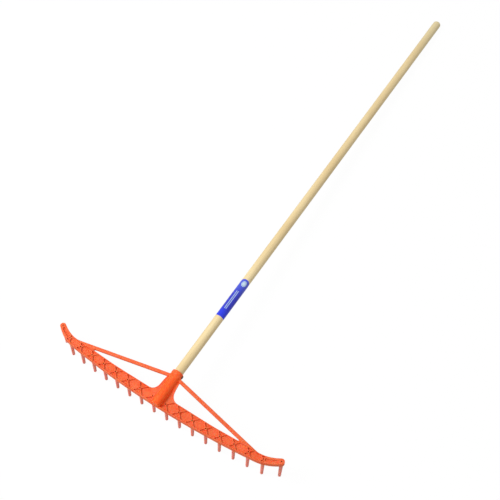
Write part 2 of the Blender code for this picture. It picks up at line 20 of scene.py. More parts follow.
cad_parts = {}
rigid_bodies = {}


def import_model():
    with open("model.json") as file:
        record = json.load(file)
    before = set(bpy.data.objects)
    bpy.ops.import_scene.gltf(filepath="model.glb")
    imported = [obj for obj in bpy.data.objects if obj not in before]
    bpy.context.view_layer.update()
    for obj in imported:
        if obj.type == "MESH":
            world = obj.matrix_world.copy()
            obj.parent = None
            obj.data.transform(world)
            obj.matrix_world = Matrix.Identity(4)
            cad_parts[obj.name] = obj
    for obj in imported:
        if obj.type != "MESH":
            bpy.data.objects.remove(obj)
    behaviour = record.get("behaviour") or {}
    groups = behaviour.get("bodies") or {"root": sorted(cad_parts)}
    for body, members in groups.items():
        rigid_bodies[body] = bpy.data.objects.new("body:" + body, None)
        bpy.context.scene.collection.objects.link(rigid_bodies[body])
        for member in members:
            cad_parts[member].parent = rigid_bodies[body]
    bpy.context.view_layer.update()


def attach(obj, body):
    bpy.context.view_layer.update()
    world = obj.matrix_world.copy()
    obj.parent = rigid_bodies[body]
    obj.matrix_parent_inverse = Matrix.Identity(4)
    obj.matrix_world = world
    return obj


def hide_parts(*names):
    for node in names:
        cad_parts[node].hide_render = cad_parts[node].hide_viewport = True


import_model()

LOG = logging.getLogger("rake")
MM = 0.001
OVERSHOOT = 5.0 * MM
ROUND_LIMIT = 2.2
LEAST_STRETCH = 0.5
BODY = "root"
GROUND_PLACE = (0.0, -0.7727275, 0.0929534)
GROUND_TILT = -0.18462925
GROUND = Matrix.Translation(GROUND_PLACE) @ Matrix.Rotation(GROUND_TILT, 4, "X")

Flat = tuple[float, float]
Solid = tuple[float, float, float]


class Node(Enum):
    """Nodes of the part that the pieces here stand for."""

    HEAD = "rake_head"
    HANDLE = "handle"
    SCREW = "socket_screw"
    LABEL = "label"


class Slot(Enum):
    """Material slots of the record."""

    PLASTIC = "red_plastic"
    WOOD = "pale_wood"
    STEEL = "dark_steel"
    FILM = "blue_film"


class Side(Enum):
    """Half of the rake, as the sign of its X."""

    RIGHT = 1
    LEFT = -1


class Rim(Enum):
    """Long edge of the rail, as the sign of its distance from the middle line."""

    REAR = 1
    FRONT = -1


class Edge(Enum):
    """Where a rounded edge stands, as the sign of its inset."""

    OUTSIDE = 1
    HOLLOW = -1


class Joining(Enum):
    """What a Boolean step does with its tool."""

    ADD = "UNION"
    CUT = "DIFFERENCE"


# Small geometry helpers

def mix(start: float, end: float, share: float) -> float:
    """Straight-line mix of two values."""
    return start + (end - start) * share


def smooth_step(value: float) -> float:
    """Ease from 0 to 1 with level ends."""
    t = min(max(value, 0.0), 1.0)
    return t * t * (3 - 2 * t)


def quarter_turn(steps: int) -> list[float]:
    """Angles from 0 to a right angle."""
    return [math.pi / 2 * i / steps for i in range(steps + 1)]


def arc(centre: Flat, radius: float, start: float, end: float, steps: int) -> list[Flat]:
    """Points along a circle arc.

    Args:
        centre: Centre of the circle.
        radius: Its radius.
        start: First angle in radians.
        end: Last angle in radians.
        steps: Number of chords.

    Returns:
        steps + 1 points.
    """
    turns = [mix(start, end, i / steps) for i in range(steps + 1)]
    return [(centre[0] + radius * math.cos(t), centre[1] + radius * math.sin(t)) for t in turns]


def rounded(corners: Sequence[Flat], radii: Sequence[float], steps: int = 5) -> list[Flat]:
    """Round the corners of a closed outline.

    Args:
        corners: The sharp corners in order.
        radii: Radius of each corner; 0 keeps it sharp.
        steps: Number of chords of each round.

    Returns:
        The outline with an arc in place of each corner that has a radius.
    """
    outline: list[Flat] = []
    count = len(corners)
    for i, (corner, radius) in enumerate(zip(corners, radii)):
        if radius == 0.0:
            outline.append(tuple(corner))
            continue
        here = Vector(corner)
        back = (Vector(corners[i - 1]) - here).normalized()
        onward = (Vector(corners[(i + 1) % count]) - here).normalized()
        half = back.angle(onward) / 2
        centre = here + (back + onward).normalized() * (radius / math.sin(half))
        reach = radius / math.tan(half)
        first = here + back * reach - centre
        last = here + onward * reach - centre
        turn = first.angle_signed(last)
        for j in range(steps + 1):
            point = centre + Matrix.Rotation(-turn * j / steps, 2) @ first
            outline.append((point.x, point.y))
    return outline


def sides_of(outline: Sequence[Flat]) -> Iterable[tuple[Flat, Flat]]:
    """Start and end of every side of a closed outline."""
    return zip(outline, list(outline[1:]) + [outline[0]])


def refined(outline: Sequence[Flat], longest: float) -> list[Flat]:
    """Split the long sides of a closed outline so that it can follow a bent line.

    Args:
        outline: The outline.
        longest: Length that no side passes afterwards.

    Returns:
        The outline with its added points.
    """
    points: list[Flat] = []
    for start, end in sides_of(outline):
        count = max(1, math.ceil(math.dist(start, end) / longest))
        shares = [i / count for i in range(count)]
        points += [(mix(start[0], end[0], share), mix(start[1], end[1], share)) for share in shares]
    return points


def counter_clockwise(outline: Sequence[Flat]) -> list[Flat]:
    """The outline, turned round where it runs clockwise."""
    area = sum(a[0] * b[1] - b[0] * a[1] for a, b in sides_of(outline))
    return list(outline) if area > 0 else list(reversed(outline))


def inset(outline: Sequence[Flat], distance: float) -> list[Flat]:
    """Move an outline sideways.

    Args:
        outline: Counter-clockwise outline.
        distance: How far inwards; negative moves it outwards.

    Returns:
        The moved outline, point for point.
    """
    count = len(outline)
    moved: list[Flat] = []
    for i in range(count):
        here = Vector(outline[i])
        before = (here - Vector(outline[i - 1])).normalized()
        after = (Vector(outline[(i + 1) % count]) - here).normalized()
        side = Vector((-before.y - after.y, before.x + after.x)).normalized()
        stretch = max(side.dot(Vector((-after.y, after.x))), LEAST_STRETCH)
        point = here + side * (distance / stretch)
        moved.append((point.x, point.y))
    return moved


def bar_section(low: float, high: float, bottom: float, top: float, radius: float) -> list[Flat]:
    """Section across a bar: a rectangle with round corners.

    Args:
        low: Its smallest Y.
        high: Its largest Y.
        bottom: Its smallest Z.
        top: Its largest Z.
        radius: Radius of the corners, made smaller on a thin bar.

    Returns:
        Points round the section.
    """
    size = min(radius, (high - low) / ROUND_LIMIT, (top - bottom) / ROUND_LIMIT)
    corners = [(low, bottom), (high, bottom), (high, top), (low, top)]
    return rounded(corners, [size] * 4)


def loft(rings: Sequence[Sequence[Solid]]) -> bmesh.types.BMesh:
    """Closed solid through rings, with flat ends.

    Args:
        rings: Rings of equal point count.

    Returns:
        A closed shape with its faces outwards.
    """
    shape = bmesh.new()
    loops = [[shape.verts.new(point) for point in ring] for ring in rings]
    count = len(loops[0])
    for low, high in zip(loops, loops[1:]):
        for i in range(count):
            j = (i + 1) % count
            shape.faces.new((low[i], low[j], high[j], high[i]))
    shape.faces.new(list(reversed(loops[0])))
    shape.faces.new(loops[-1])
    bmesh.ops.recalc_face_normals(shape, faces=shape.faces)
    return shape


def lathe(profile: Sequence[Flat], sides: int) -> bmesh.types.BMesh:
    """Turned solid round Z.

    Args:
        profile: Radius and height of each ring; the first and last lie on the axis.
        sides: Number of faces round the axis.

    Returns:
        A closed shape with its faces outwards.
    """
    shape = bmesh.new()
    first = shape.verts.new((0.0, 0.0, profile[0][1]))
    last = shape.verts.new((0.0, 0.0, profile[-1][1]))
    turns = [2 * math.pi * i / sides for i in range(sides)]
    rings = [
        [shape.verts.new((radius * math.cos(t), radius * math.sin(t), height)) for t in turns]
        for radius, height in profile[1:-1]
    ]
    for i in range(sides):
        j = (i + 1) % sides
        shape.faces.new((first, rings[0][i], rings[0][j]))
        shape.faces.new((last, rings[-1][j], rings[-1][i]))
        for upper, lower in zip(rings, rings[1:]):
            shape.faces.new((upper[i], lower[i], lower[j], upper[j]))
    bmesh.ops.recalc_face_normals(shape, faces=shape.faces)
    return shape


def as_object(shape: bmesh.types.BMesh, name: str, place: Matrix | None = None) -> bpy.types.Object:
    """Turn a shape into an object of the scene.

    Args:
        shape: The shape, which is used up.
        name: Name of the object and its mesh.
        place: Matrix that the shape is moved by first.

    Returns:
        The new object, at the origin.
    """
    if place is not None:
        shape.transform(place)
    mesh = bpy.data.meshes.new(name)
    shape.to_mesh(mesh)
    shape.free()
    item = bpy.data.objects.new(name, mesh)
    bpy.context.collection.objects.link(item)
    return item


def apply_modifiers(item: bpy.types.Object) -> None:
    """Replace an object's mesh by what its modifiers make of it.

    Args:
        item: The object.
    """
    graph = bpy.context.evaluated_depsgraph_get()
    made = bpy.data.meshes.new_from_object(item.evaluated_get(graph))
    item.modifiers.clear()
    old = item.data
    item.data = made
    bpy.data.meshes.remove(old)


def boolean(body: bpy.types.Object, tool: bpy.types.Object, joining: Joining) -> None:
    """Join or cut a body with a tool.

    Args:
        body: The object that changes.
        tool: The tool, which is used up.
        joining: Whether it is added or cut away.
    """
    step = body.modifiers.new("joining", "BOOLEAN")
    step.operation = joining.value
    step.object = tool
    step.solver = "EXACT"
    apply_modifiers(body)
    bpy.data.objects.remove(tool, do_unlink=True)


def even_shading(item: bpy.types.Object) -> None:
    """Smooth shading that keeps the large faces flat next to their rounded edges.

    Args:
        item: The object that is shaded.
    """
    item.data.shade_smooth()
    step = item.modifiers.new("even", "WEIGHTED_NORMAL")
    step.mode = "FACE_AREA"
    step.weight = 100
    apply_modifiers(item)


def edged_shading(item: bpy.types.Object, angle: float = math.radians(40)) -> None:
    """Smooth shading with sharp edges where faces meet at more than an angle."""
    item.data.shade_smooth()
    item.data.set_sharp_from_angle(angle=angle)


def settle(
    item: bpy.types.Object, node: Node, material: bpy.types.Material
) -> bpy.types.Object:
    """Lay a finished piece on the ground and tie it to the frame.

    Args:
        item: The piece, modelled in the head's frame, at the origin.
        node: The part's node that it stands for.
        material: Its finish.

    Returns:
        The same piece.
    """
    item.data.transform(GROUND)
    item.data.materials.clear()
    item.data.materials.append(material)
    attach(item, BODY)
    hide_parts(node.value)
    return item


class SubAssembly:
    """What all sub-assemblies share: the node and the slot they stand for, and the dressing."""

    node: ClassVar[Node] = Node.HEAD
    slot: ClassVar[Slot] = Slot.PLASTIC

    def dress(self, item: bpy.types.Object, material: bpy.types.Material) -> bpy.types.Object:
        """Give a finished piece of this sub-assembly its place and its finish."""
        return settle(item, self.node, material)


# Shader building

class Signal:
    """A number that varies over a surface, with ordinary arithmetic."""

    def __init__(self, tree: bpy.types.NodeTree, socket: bpy.types.NodeSocket) -> None:
        """Wrap one output socket of a tree."""
        self.tree = tree
        self.socket = socket

    def _join(self, operation: str, first: "Signal | float", second: "Signal | float") -> "Signal":
        """Add one Math node.

        Args:
            operation: Blender's name of the operation.
            first: Its first value.
            second: Its second value.

        Returns:
            The node's result.
        """
        node = self.tree.nodes.new("ShaderNodeMath")
        node.operation = operation
        for place, value in zip(node.inputs, (first, second)):
            if isinstance(value, Signal):
                self.tree.links.new(value.socket, place)
            else:
                place.default_value = value
        return Signal(self.tree, node.outputs[0])

    def __add__(self, other: "Signal | float") -> "Signal":
        """Sum."""
        return self._join("ADD", self, other)

    def __radd__(self, other: float) -> "Signal":
        """Sum with a number on the left."""
        return self._join("ADD", other, self)

    def __sub__(self, other: "Signal | float") -> "Signal":
        """Difference."""
        return self._join("SUBTRACT", self, other)

    def __rsub__(self, other: float) -> "Signal":
        """Difference from a number on the left."""
        return self._join("SUBTRACT", other, self)

    def __mul__(self, other: "Signal | float") -> "Signal":
        """Product."""
        return self._join("MULTIPLY", self, other)

    def __rmul__(self, other: float) -> "Signal":
        """Product with a number on the left."""
        return self._join("MULTIPLY", other, self)

    def __pow__(self, other: float) -> "Signal":
        """Power."""
        return self._join("POWER", self, other)

    def larger(self, other: "Signal | float") -> "Signal":
        """The larger of two values."""
        return self._join("MAXIMUM", self, other)

    def size(self) -> "Signal":
        """The value without its sign."""
        return self._join("ABSOLUTE", self, 0.0)

    def wave(self) -> "Signal":
        """Sine of the value."""
        return self._join("SINE", self, 0.0)

    def ramp(self, low: float, high: float) -> "Signal":
        """Ease from 0 to 1 with level ends.

        Args:
            low: Value that gives 0.
            high: Value that gives 1.

        Returns:
            The eased value.
        """
        node = self.tree.nodes.new("ShaderNodeMapRange")
        node.interpolation_type = "SMOOTHSTEP"
        self.tree.links.new(self.socket, node.inputs["Value"])
        node.inputs["From Min"].default_value = low
        node.inputs["From Max"].default_value = high
        return Signal(self.tree, node.outputs["Result"])


class Finish:
    """Node tree of one material and the few calls that finishes need."""

    def __init__(self, name: str) -> None:
        """Start a material with a Principled surface.

        Args:
            name: Name of the material.
        """
        self.material = bpy.data.materials.new(name)
        self.material.use_nodes = True
        self.tree = self.material.node_tree
        self.surface = self.tree.nodes["Principled BSDF"]

    def node(
        self,
        kind: str,
        settings: dict[str, object] | None = None,
        inputs: dict[str | int, object] | None = None,
    ) -> bpy.types.Node:
        """Add one node.

        Args:
            kind: Blender's name of the node type.
            settings: Its properties, set before its sockets.
            inputs: Value, Signal or socket for each input, by name or number.

        Returns:
            The new node.
        """
        node = self.tree.nodes.new(kind)
        for key, value in (settings or {}).items():
            setattr(node, key, value)
        for key, value in (inputs or {}).items():
            self.feed(node.inputs[key], value)
        return node

    def feed(self, place: bpy.types.NodeSocket, value: object) -> None:
        """Link or set one input.

        Args:
            place: The input socket.
            value: A Signal or a socket, which is linked, or a plain value, which is set.
        """
        if isinstance(value, Signal):
            self.tree.links.new(value.socket, place)
        elif isinstance(value, bpy.types.NodeSocket):
            self.tree.links.new(value, place)
        elif isinstance(value, tuple) and len(value) == 3 and place.type == "RGBA":
            place.default_value = (*value, 1.0)
        else:
            place.default_value = value

    def coordinates(self, place: Matrix | None = None) -> bpy.types.NodeSocket:
        """Object coordinates, or those of a frame that stands in the object.

        Args:
            place: Matrix of that frame in the object.

        Returns:
            A vector socket.
        """
        source = self.node("ShaderNodeTexCoord").outputs["Object"]
        if place is None:
            return source
        back = place.inverted()
        turn = back.to_euler("XYZ")
        inputs = {"Vector": source, "Location": back.to_translation(), "Rotation": turn}
        return self.node("ShaderNodeMapping", {"vector_type": "POINT"}, inputs).outputs[0]

    def scaled(self, vector: bpy.types.NodeSocket, scale: Solid) -> bpy.types.NodeSocket:
        """Vector multiplied part by part."""
        inputs = {0: vector, 1: scale}
        return self.node("ShaderNodeVectorMath", {"operation": "MULTIPLY"}, inputs).outputs[0]

    def length(self, vector: bpy.types.NodeSocket) -> Signal:
        """Length of a vector."""
        node = self.node("ShaderNodeVectorMath", {"operation": "LENGTH"}, {0: vector})
        return Signal(self.tree, node.outputs["Value"])

    def parts(self, vector: bpy.types.NodeSocket) -> tuple[Signal, Signal, Signal]:
        """The three numbers of a vector."""
        outputs = self.node("ShaderNodeSeparateXYZ", {}, {0: vector}).outputs
        return tuple(Signal(self.tree, output) for output in outputs)

    def noise(
        self, vector: bpy.types.NodeSocket, scale: float, detail: float = 2.0, rough: float = 0.5
    ) -> Signal:
        """Cloudy noise from 0 to 1.

        Args:
            vector: Where it is read.
            scale: Cells per metre of that vector.
            detail: Number of finer layers.
            rough: Strength of the finer layers.

        Returns:
            The noise value.
        """
        inputs = {"Vector": vector, "Scale": scale, "Detail": detail, "Roughness": rough}
        return Signal(self.tree, self.node("ShaderNodeTexNoise", {}, inputs).outputs[0])

    def colour(self, share: Signal | float, low: object, high: object) -> bpy.types.NodeSocket:
        """Mix two colours.

        Args:
            share: How much of the second colour.
            low: First colour or colour socket.
            high: Second colour or colour socket.

        Returns:
            A colour socket.
        """
        inputs = {0: share, 6: low, 7: high}
        return self.node("ShaderNodeMix", {"data_type": "RGBA"}, inputs).outputs[2]

    def bump(self, *layers: tuple[Signal, float]) -> None:
        """Feed the surface's normal from height layers.

        Args:
            layers: Height signal from 0 to 1 and its depth in metres, for each layer.
        """
        inputs: dict[str | int, object] = {}
        for height, depth in layers:
            inputs.update({"Height": height, "Distance": depth, "Strength": 1.0})
            inputs["Normal"] = self.node("ShaderNodeBump", {}, inputs).outputs[0]
        self.feed(self.surface.inputs["Normal"], inputs["Normal"])

    def set(self, **inputs: object) -> bpy.types.Material:
        """Set the surface's sockets.

        Args:
            inputs: Value, Signal or socket for each, with _ for a space in their names.

        Returns:
            The material.
        """
        for key, value in inputs.items():
            self.feed(self.surface.inputs[key.replace("_", " ")], value)
        return self.material


# Finishes

@dataclass(frozen=True)
class MouldedPlastic:
    """Satin moulded plastic with a fine sprayed texture, faint flow marks and light scuffs.

    Round the socket a deeper, more saturated red is painted as shade, standing in for the saturated
    shade on the tube, and the plastic is a little glossier.
    Towards the tips of the tines a paler, bluer red is painted as sheen, standing in for the white
    surroundings reflected on the thin pegs, and the plastic gets a little rougher.
    """

    name: str
    socket: Matrix | None = None
    head: Matrix | None = None
    colour: Solid = (0.79, 0.152, 0.055)
    pale: Solid = (0.82, 0.195, 0.085)
    deep: Solid = (0.75, 0.125, 0.042)
    scuffed: Solid = (0.96, 0.45, 0.3)
    # Painted shade: a deeper, more saturated red round the socket.
    socket_shade_red: Solid = (0.96, 0.115, 0.014)
    # Painted sheen: a paler, bluer red towards the tine tips.
    tine_sheen_red: Solid = (0.88, 0.27, 0.205)
    roughness: float = 0.54
    gloss: float = 0.11
    translucency: float = 0.6
    light_depth: float = 2.5 * MM
    light_reach: Solid = (1.0, 0.2, 0.08)
    flow_share: float = 0.5
    flow_depth: float = 0.05 * MM
    grain_depth: float = 0.02 * MM
    grain_rough: float = 0.1
    scuff_share: float = 0.12
    scuff_rough: float = 0.08
    socket_shade_share: float = 0.8
    socket_gloss: float = 0.06
    socket_shade_and_gloss_to: float = 14.5 * MM
    plain_from: float = 19.0 * MM
    tine_sheen_share: float = 0.8
    tine_sheen_cloud: float = 0.3
    tip_rough: float = 0.08
    tip_sheen_from: float = -11.0 * MM
    tip_sheen_full: float = -30.0 * MM

    def material(self) -> bpy.types.Material:
        """Make the material.

        Returns:
            The plastic, with painted shade round a socket or painted sheen down a head where one is
            given.
        """
        finish = Finish(self.name)
        place = finish.coordinates()
        along_flow = finish.scaled(place, (0.35, 1.0, 1.0))
        along_wear = finish.scaled(place, (1.0, 0.25, 1.0))
        cloud = finish.noise(place, scale=22.0, detail=3.0, rough=0.55)
        flow = finish.noise(along_flow, scale=90.0, detail=4.0, rough=0.6)
        grain = finish.noise(place, scale=1900.0)
        scuff = finish.noise(along_wear, scale=420.0, detail=5.0, rough=0.7).ramp(0.62, 0.72)
        base = finish.colour(cloud.ramp(0.3, 0.7), self.colour, self.deep)
        base = finish.colour(flow.ramp(0.45, 0.75) * self.flow_share, base, self.pale)
        base = finish.colour(scuff * self.scuff_share, base, self.scuffed)
        rough = self.roughness + self.grain_rough * (grain - 0.5) + self.scuff_rough * scuff
        if self.socket is not None:
            # Painted shade round the socket: a deeper red, and a little less roughness.
            x, y, _ = finish.parts(finish.coordinates(self.socket))
            socket_shade_and_gloss = 1.0 - ((x * x + y * y) ** 0.5).ramp(self.socket_shade_and_gloss_to, self.plain_from)
            base = finish.colour(socket_shade_and_gloss * self.socket_shade_share, base, self.socket_shade_red)
            rough = rough - self.socket_gloss * socket_shade_and_gloss
        if self.head is not None:
            # Painted sheen towards the tine tips: a paler, bluer red, and a little more roughness.
            _, _, height = finish.parts(finish.coordinates(self.head))
            tip_sheen_and_dull = 1.0 - height.ramp(self.tip_sheen_full, self.tip_sheen_from)
            share = self.tine_sheen_share + self.tine_sheen_cloud * cloud
            base = finish.colour(tip_sheen_and_dull * share, base, self.tine_sheen_red)
            rough = rough + self.tip_rough * tip_sheen_and_dull
        finish.bump((flow, self.flow_depth), (grain, self.grain_depth))
        finish.set(Subsurface_Weight=self.translucency, Subsurface_Radius=self.light_reach)
        finish.set(Subsurface_Scale=self.light_depth, Specular_IOR_Level=self.gloss)
        return finish.set(Base_Color=base, Roughness=rough)


@dataclass(frozen=True)
class PaleWood:
    """Clear-finished ash: long soft grain lines, fine pores and a rounded end with rings."""

    axis: Matrix
    light: Solid = (0.785, 0.645, 0.37)
    tan: Solid = (0.68, 0.518, 0.265)
    line: Solid = (0.52, 0.33, 0.14)
    free_end_grey: Solid = (0.50, 0.45, 0.26)
    roughness: float = 0.5
    gloss: float = 0.35
    ring_turns: float = 620.0
    ring_slant: float = 0.55
    ring_wander: float = 0.012
    ring_share: float = 0.35
    fibre_share: float = 0.3
    fibre_depth: float = 0.06 * MM
    pore_share: float = 0.35
    pore_depth: float = -0.05 * MM
    end_share: float = 0.35
    side_from: float = 9.0 * MM
    side_to: float = 11.7 * MM
    free_end_share: float = 0.3
    free_end_from: float = 1.26
    free_end_to: float = 1.46

    def material(self) -> bpy.types.Material:
        """Make the material.

        Returns:
            The wood, darker on its end face and where hands hold it.
        """
        finish = Finish("pale_wood_grain")
        place = finish.coordinates(self.axis)
        x, y, along = finish.parts(place)
        wander = finish.noise(finish.scaled(place, (1.0, 1.0, 0.16)), scale=26.0)
        rings = (x + self.ring_slant * y + self.ring_wander * wander) * self.ring_turns
        band = rings.wave() * 0.5 + 0.5
        fibre = finish.noise(finish.scaled(place, (1.0, 1.0, 0.022)), 900.0, detail=3.0, rough=0.6)
        dots = finish.noise(finish.scaled(place, (1.0, 1.0, 0.03)), scale=2600.0, detail=1.0)
        pores = dots.ramp(0.62, 0.72)
        cloud = finish.noise(finish.scaled(place, (1.0, 1.0, 0.25)), scale=18.0)
        base = finish.colour(cloud.ramp(0.3, 0.7), self.light, self.tan)
        base = finish.colour((band ** 3.0) * self.ring_share, base, self.tan)
        base = finish.colour(fibre.ramp(0.5, 0.75) * self.fibre_share, base, self.line)
        base = finish.colour(pores * self.pore_share, base, self.line)
        radius = finish.length(finish.scaled(place, (1.0, 1.0, 0.0)))
        end = 1.0 - radius.ramp(self.side_from, self.side_to)
        base = finish.colour(end * self.end_share, base, self.line)
        # Greyer and darker towards the free end of the handle.
        free_end_greying = along.ramp(self.free_end_from, self.free_end_to)
        base = finish.colour(free_end_greying * self.free_end_share, base, self.free_end_grey)
        rough = self.roughness + 0.14 * fibre + 0.1 * pores - 0.06 * band
        finish.bump((fibre, self.fibre_depth), (pores, self.pore_depth))
        return finish.set(Base_Color=base, Roughness=rough, Specular_IOR_Level=self.gloss)


@dataclass(frozen=True)
class PrintedFilm:
    """Blue gloss film with a plain oval and two fine lines.

    The blue is deeper at the lower end and paler at the upper end.
    """

    length: float
    width: float
    oval_along: float = 0.882
    oval_across: float = 0.515
    oval_reach: Flat = (7.2 * MM, 9.0 * MM)
    deep: Solid = (0.022, 0.040, 0.66)
    blue: Solid = (0.032, 0.040, 0.48)
    upper: Solid = (0.075, 0.105, 0.60)
    pale: Solid = (0.48, 0.63, 0.72)
    worn: Solid = (0.55, 0.6, 0.8)
    roughness: float = 0.26
    gloss: float = 0.22
    ripple_depth: float = 0.08 * MM
    grain_depth: float = 0.008 * MM
    ring_place: float = 0.72
    ring_share: float = 0.7
    worn_share: float = 0.3
    stripe_share: float = 0.75
    stripe_across: float = 0.47
    stripe_apart: float = 4.4 * MM
    stripe_width: float = 2.0 * MM
    stripe_middle: float = 0.44
    stripe_half: float = 0.235

    def material(self) -> bpy.types.Material:
        """Make the material.

        Returns:
            The film, laid out on the label's own coordinates.
        """
        finish = Finish("blue_film_gloss")
        uv = finish.node("ShaderNodeTexCoord").outputs["UV"]
        across, along, _ = finish.parts(uv)
        place = finish.coordinates()
        base = finish.colour(along.ramp(0.08, 0.3), self.deep, self.blue)
        base = finish.colour(along.ramp(0.45, 0.98), base, self.upper)
        side = (across - self.oval_across) * (self.width / self.oval_reach[0])
        up = (along - self.oval_along) * (self.length / self.oval_reach[1])
        spread = (side * side + up * up) ** 0.5
        base = finish.colour(1.0 - spread.ramp(0.93, 1.03), base, self.pale)
        ring = 1.0 - (spread - self.ring_place).size().ramp(0.05, 0.09)
        base = finish.colour(ring * self.ring_share, base, self.upper)
        off_middle = (across - self.stripe_across).size() * self.width
        off_line = (off_middle - self.stripe_apart / 2).size()
        past_end = ((along - self.stripe_middle).size() - self.stripe_half).larger(0.0)
        off_stripe = off_line + past_end * self.length
        stripe = 1.0 - off_stripe.ramp(0.45 * self.stripe_width, 0.55 * self.stripe_width)
        base = finish.colour(stripe * self.stripe_share, base, self.pale)
        edge = ((across - 0.5).size() * 2.0).ramp(0.955, 1.0)
        base = finish.colour(edge * self.worn_share, base, self.worn)
        ripple = finish.noise(finish.scaled(place, (1.0, 0.4, 1.0)), scale=240.0)
        grain = finish.noise(place, scale=3200.0, detail=1.0)
        finish.bump((ripple, self.ripple_depth), (grain, self.grain_depth))
        rough = self.roughness + 0.12 * ripple + 0.05 * grain
        return finish.set(Base_Color=base, Roughness=rough, Specular_IOR_Level=self.gloss)


@dataclass(frozen=True)
class DarkSteel:
    """Dark zinc of the screw, a little worn on its high places."""

    dark: Solid = (0.060, 0.034, 0.026)
    worn: Solid = (0.22, 0.14, 0.10)
    metal: float = 0.6
    roughness: float = 0.48
    patch_rough: float = 0.25
    patch_depth: float = 0.03 * MM
    grain_depth: float = 0.01 * MM

    def material(self) -> bpy.types.Material:
        """Make the material.

        Returns:
            The steel.
        """
        finish = Finish("dark_steel_worn")
        place = finish.coordinates()
        patch = finish.noise(place, scale=900.0, detail=4.0, rough=0.6)
        grain = finish.noise(place, scale=6000.0)
        base = finish.colour(patch.ramp(0.52, 0.7), self.dark, self.worn)
        finish.bump((patch, self.patch_depth), (grain, self.grain_depth))
        rough = self.roughness + self.patch_rough * patch
        return finish.set(Base_Color=base, Roughness=rough, Metallic=self.metal)


# Rail

@dataclass(frozen=True)
class RailLine:
    """Outline of the rail seen from above, and the coordinates that run along it."""

    tine_count: int = 18
    pitch: float = 41.0 * MM
    rear_y: float = 17.0 * MM
    front_y: float = -16.5 * MM
    front_radius: float = 2420.0 * MM
    arm_length: float = 61.5 * MM
    bend_length: float = 61.5 * MM
    bend_radius: float = 95.6 * MM
    tip_half_width: float = 8.0 * MM
    shoulder_length: float = 150.0 * MM
    shoulder_rise: float = 5.2 * MM
    spacing: float = 4.0 * MM
    nose_steps: int = 16

    @property
    def tip_x(self) -> float:
        """Distance of the outer tines from the middle."""
        return (self.tine_count - 1) / 2 * self.pitch

    @property
    def bend_x(self) -> float:
        """Distance at which the end arms start."""
        return self.tip_x - self.arm_length

    def front_edge(self, distance: float) -> float:
        """Front edge of the main part: one shallow bow."""
        return self.front_y + self.front_radius - math.sqrt(self.front_radius ** 2 - distance ** 2)

    def rear_edge(self, distance: float) -> float:
        """Rear edge of the main part, with a low rise where the stay lands.

        Args:
            distance: Distance from the middle of the rake.

        Returns:
            The edge's place on Y.
        """
        start = self.bend_x - self.shoulder_length
        share = (distance - start) / self.shoulder_length
        return self.rear_y + self.shoulder_rise * smooth_step(share)

    def spine(self, u: float) -> float:
        """Middle line, with an end arm that bends back towards the handle.

        Args:
            u: Place along the rail, 0 in the middle.

        Returns:
            Its place on Y.
        """
        base = min(abs(u), self.bend_x)
        middle = (self.front_edge(base) + self.rear_edge(base)) / 2
        past = abs(u) - base
        bent = min(past, self.bend_length)
        bend = bent ** 2 / 2 / self.bend_radius + (past - bent) * bent / self.bend_radius
        return middle + self.bend_x / self.front_radius / 2 * past + bend

    def half_width(self, u: float) -> float:
        """Half of the width, square to the middle line.

        Args:
            u: Place along the rail.

        Returns:
            The half-width there.
        """
        base = min(abs(u), self.bend_x)
        main = (self.rear_edge(base) - self.front_edge(base)) / 2
        return mix(main, self.tip_half_width, (abs(u) - base) / self.arm_length)

    def normal(self, u: float) -> Vector:
        """Unit vector square to the middle line, towards the handle.

        Args:
            u: Place along the rail.

        Returns:
            The vector, in X and Y.
        """
        step = 0.1 * MM
        slope = (self.spine(u + step) - self.spine(u - step)) / (2 * step)
        return Vector((-slope, 1.0)).normalized()

    def point(self, u: float, v: float) -> Flat:
        """Place on the rail: u along its middle line, v square to it."""
        normal = self.normal(u)
        return u + normal.x * v, self.spine(u) + normal.y * v

    def tines(self) -> list[float]:
        """Distances of the tines along the rail."""
        return [(i - (self.tine_count - 1) / 2) * self.pitch for i in range(self.tine_count)]

    def outline(self) -> list[Flat]:
        """Whole outline with its round ends.

        Returns:
            Points in counter-clockwise order.
        """
        count = math.ceil(2 * self.tip_x / self.spacing)
        places = [mix(-self.tip_x, self.tip_x, i / count) for i in range(count + 1)]
        front = [self.point(u, -self.half_width(u)) for u in places]
        rear = [self.point(u, self.half_width(u)) for u in reversed(places)]
        return front + self._nose(Side.RIGHT) + rear + self._nose(Side.LEFT)

    def _nose(self, side: Side) -> list[Flat]:
        """Round end of the outline, between its front and rear edge.

        Args:
            side: Which end.

        Returns:
            Points of the round, without its two ends.
        """
        centre = Vector(self.point(side.value * self.tip_x, 0.0))
        across = self.normal(side.value * self.tip_x) * side.value
        onward = Vector((across.y, -across.x))
        shares = [i / self.nose_steps for i in range(1, self.nose_steps)]
        turns = [mix(-math.pi / 2, math.pi / 2, share) for share in shares]
        radius = self.tip_half_width
        points = [centre + (onward * math.cos(t) + across * math.sin(t)) * radius for t in turns]
        return [(p.x, p.y) for p in points]


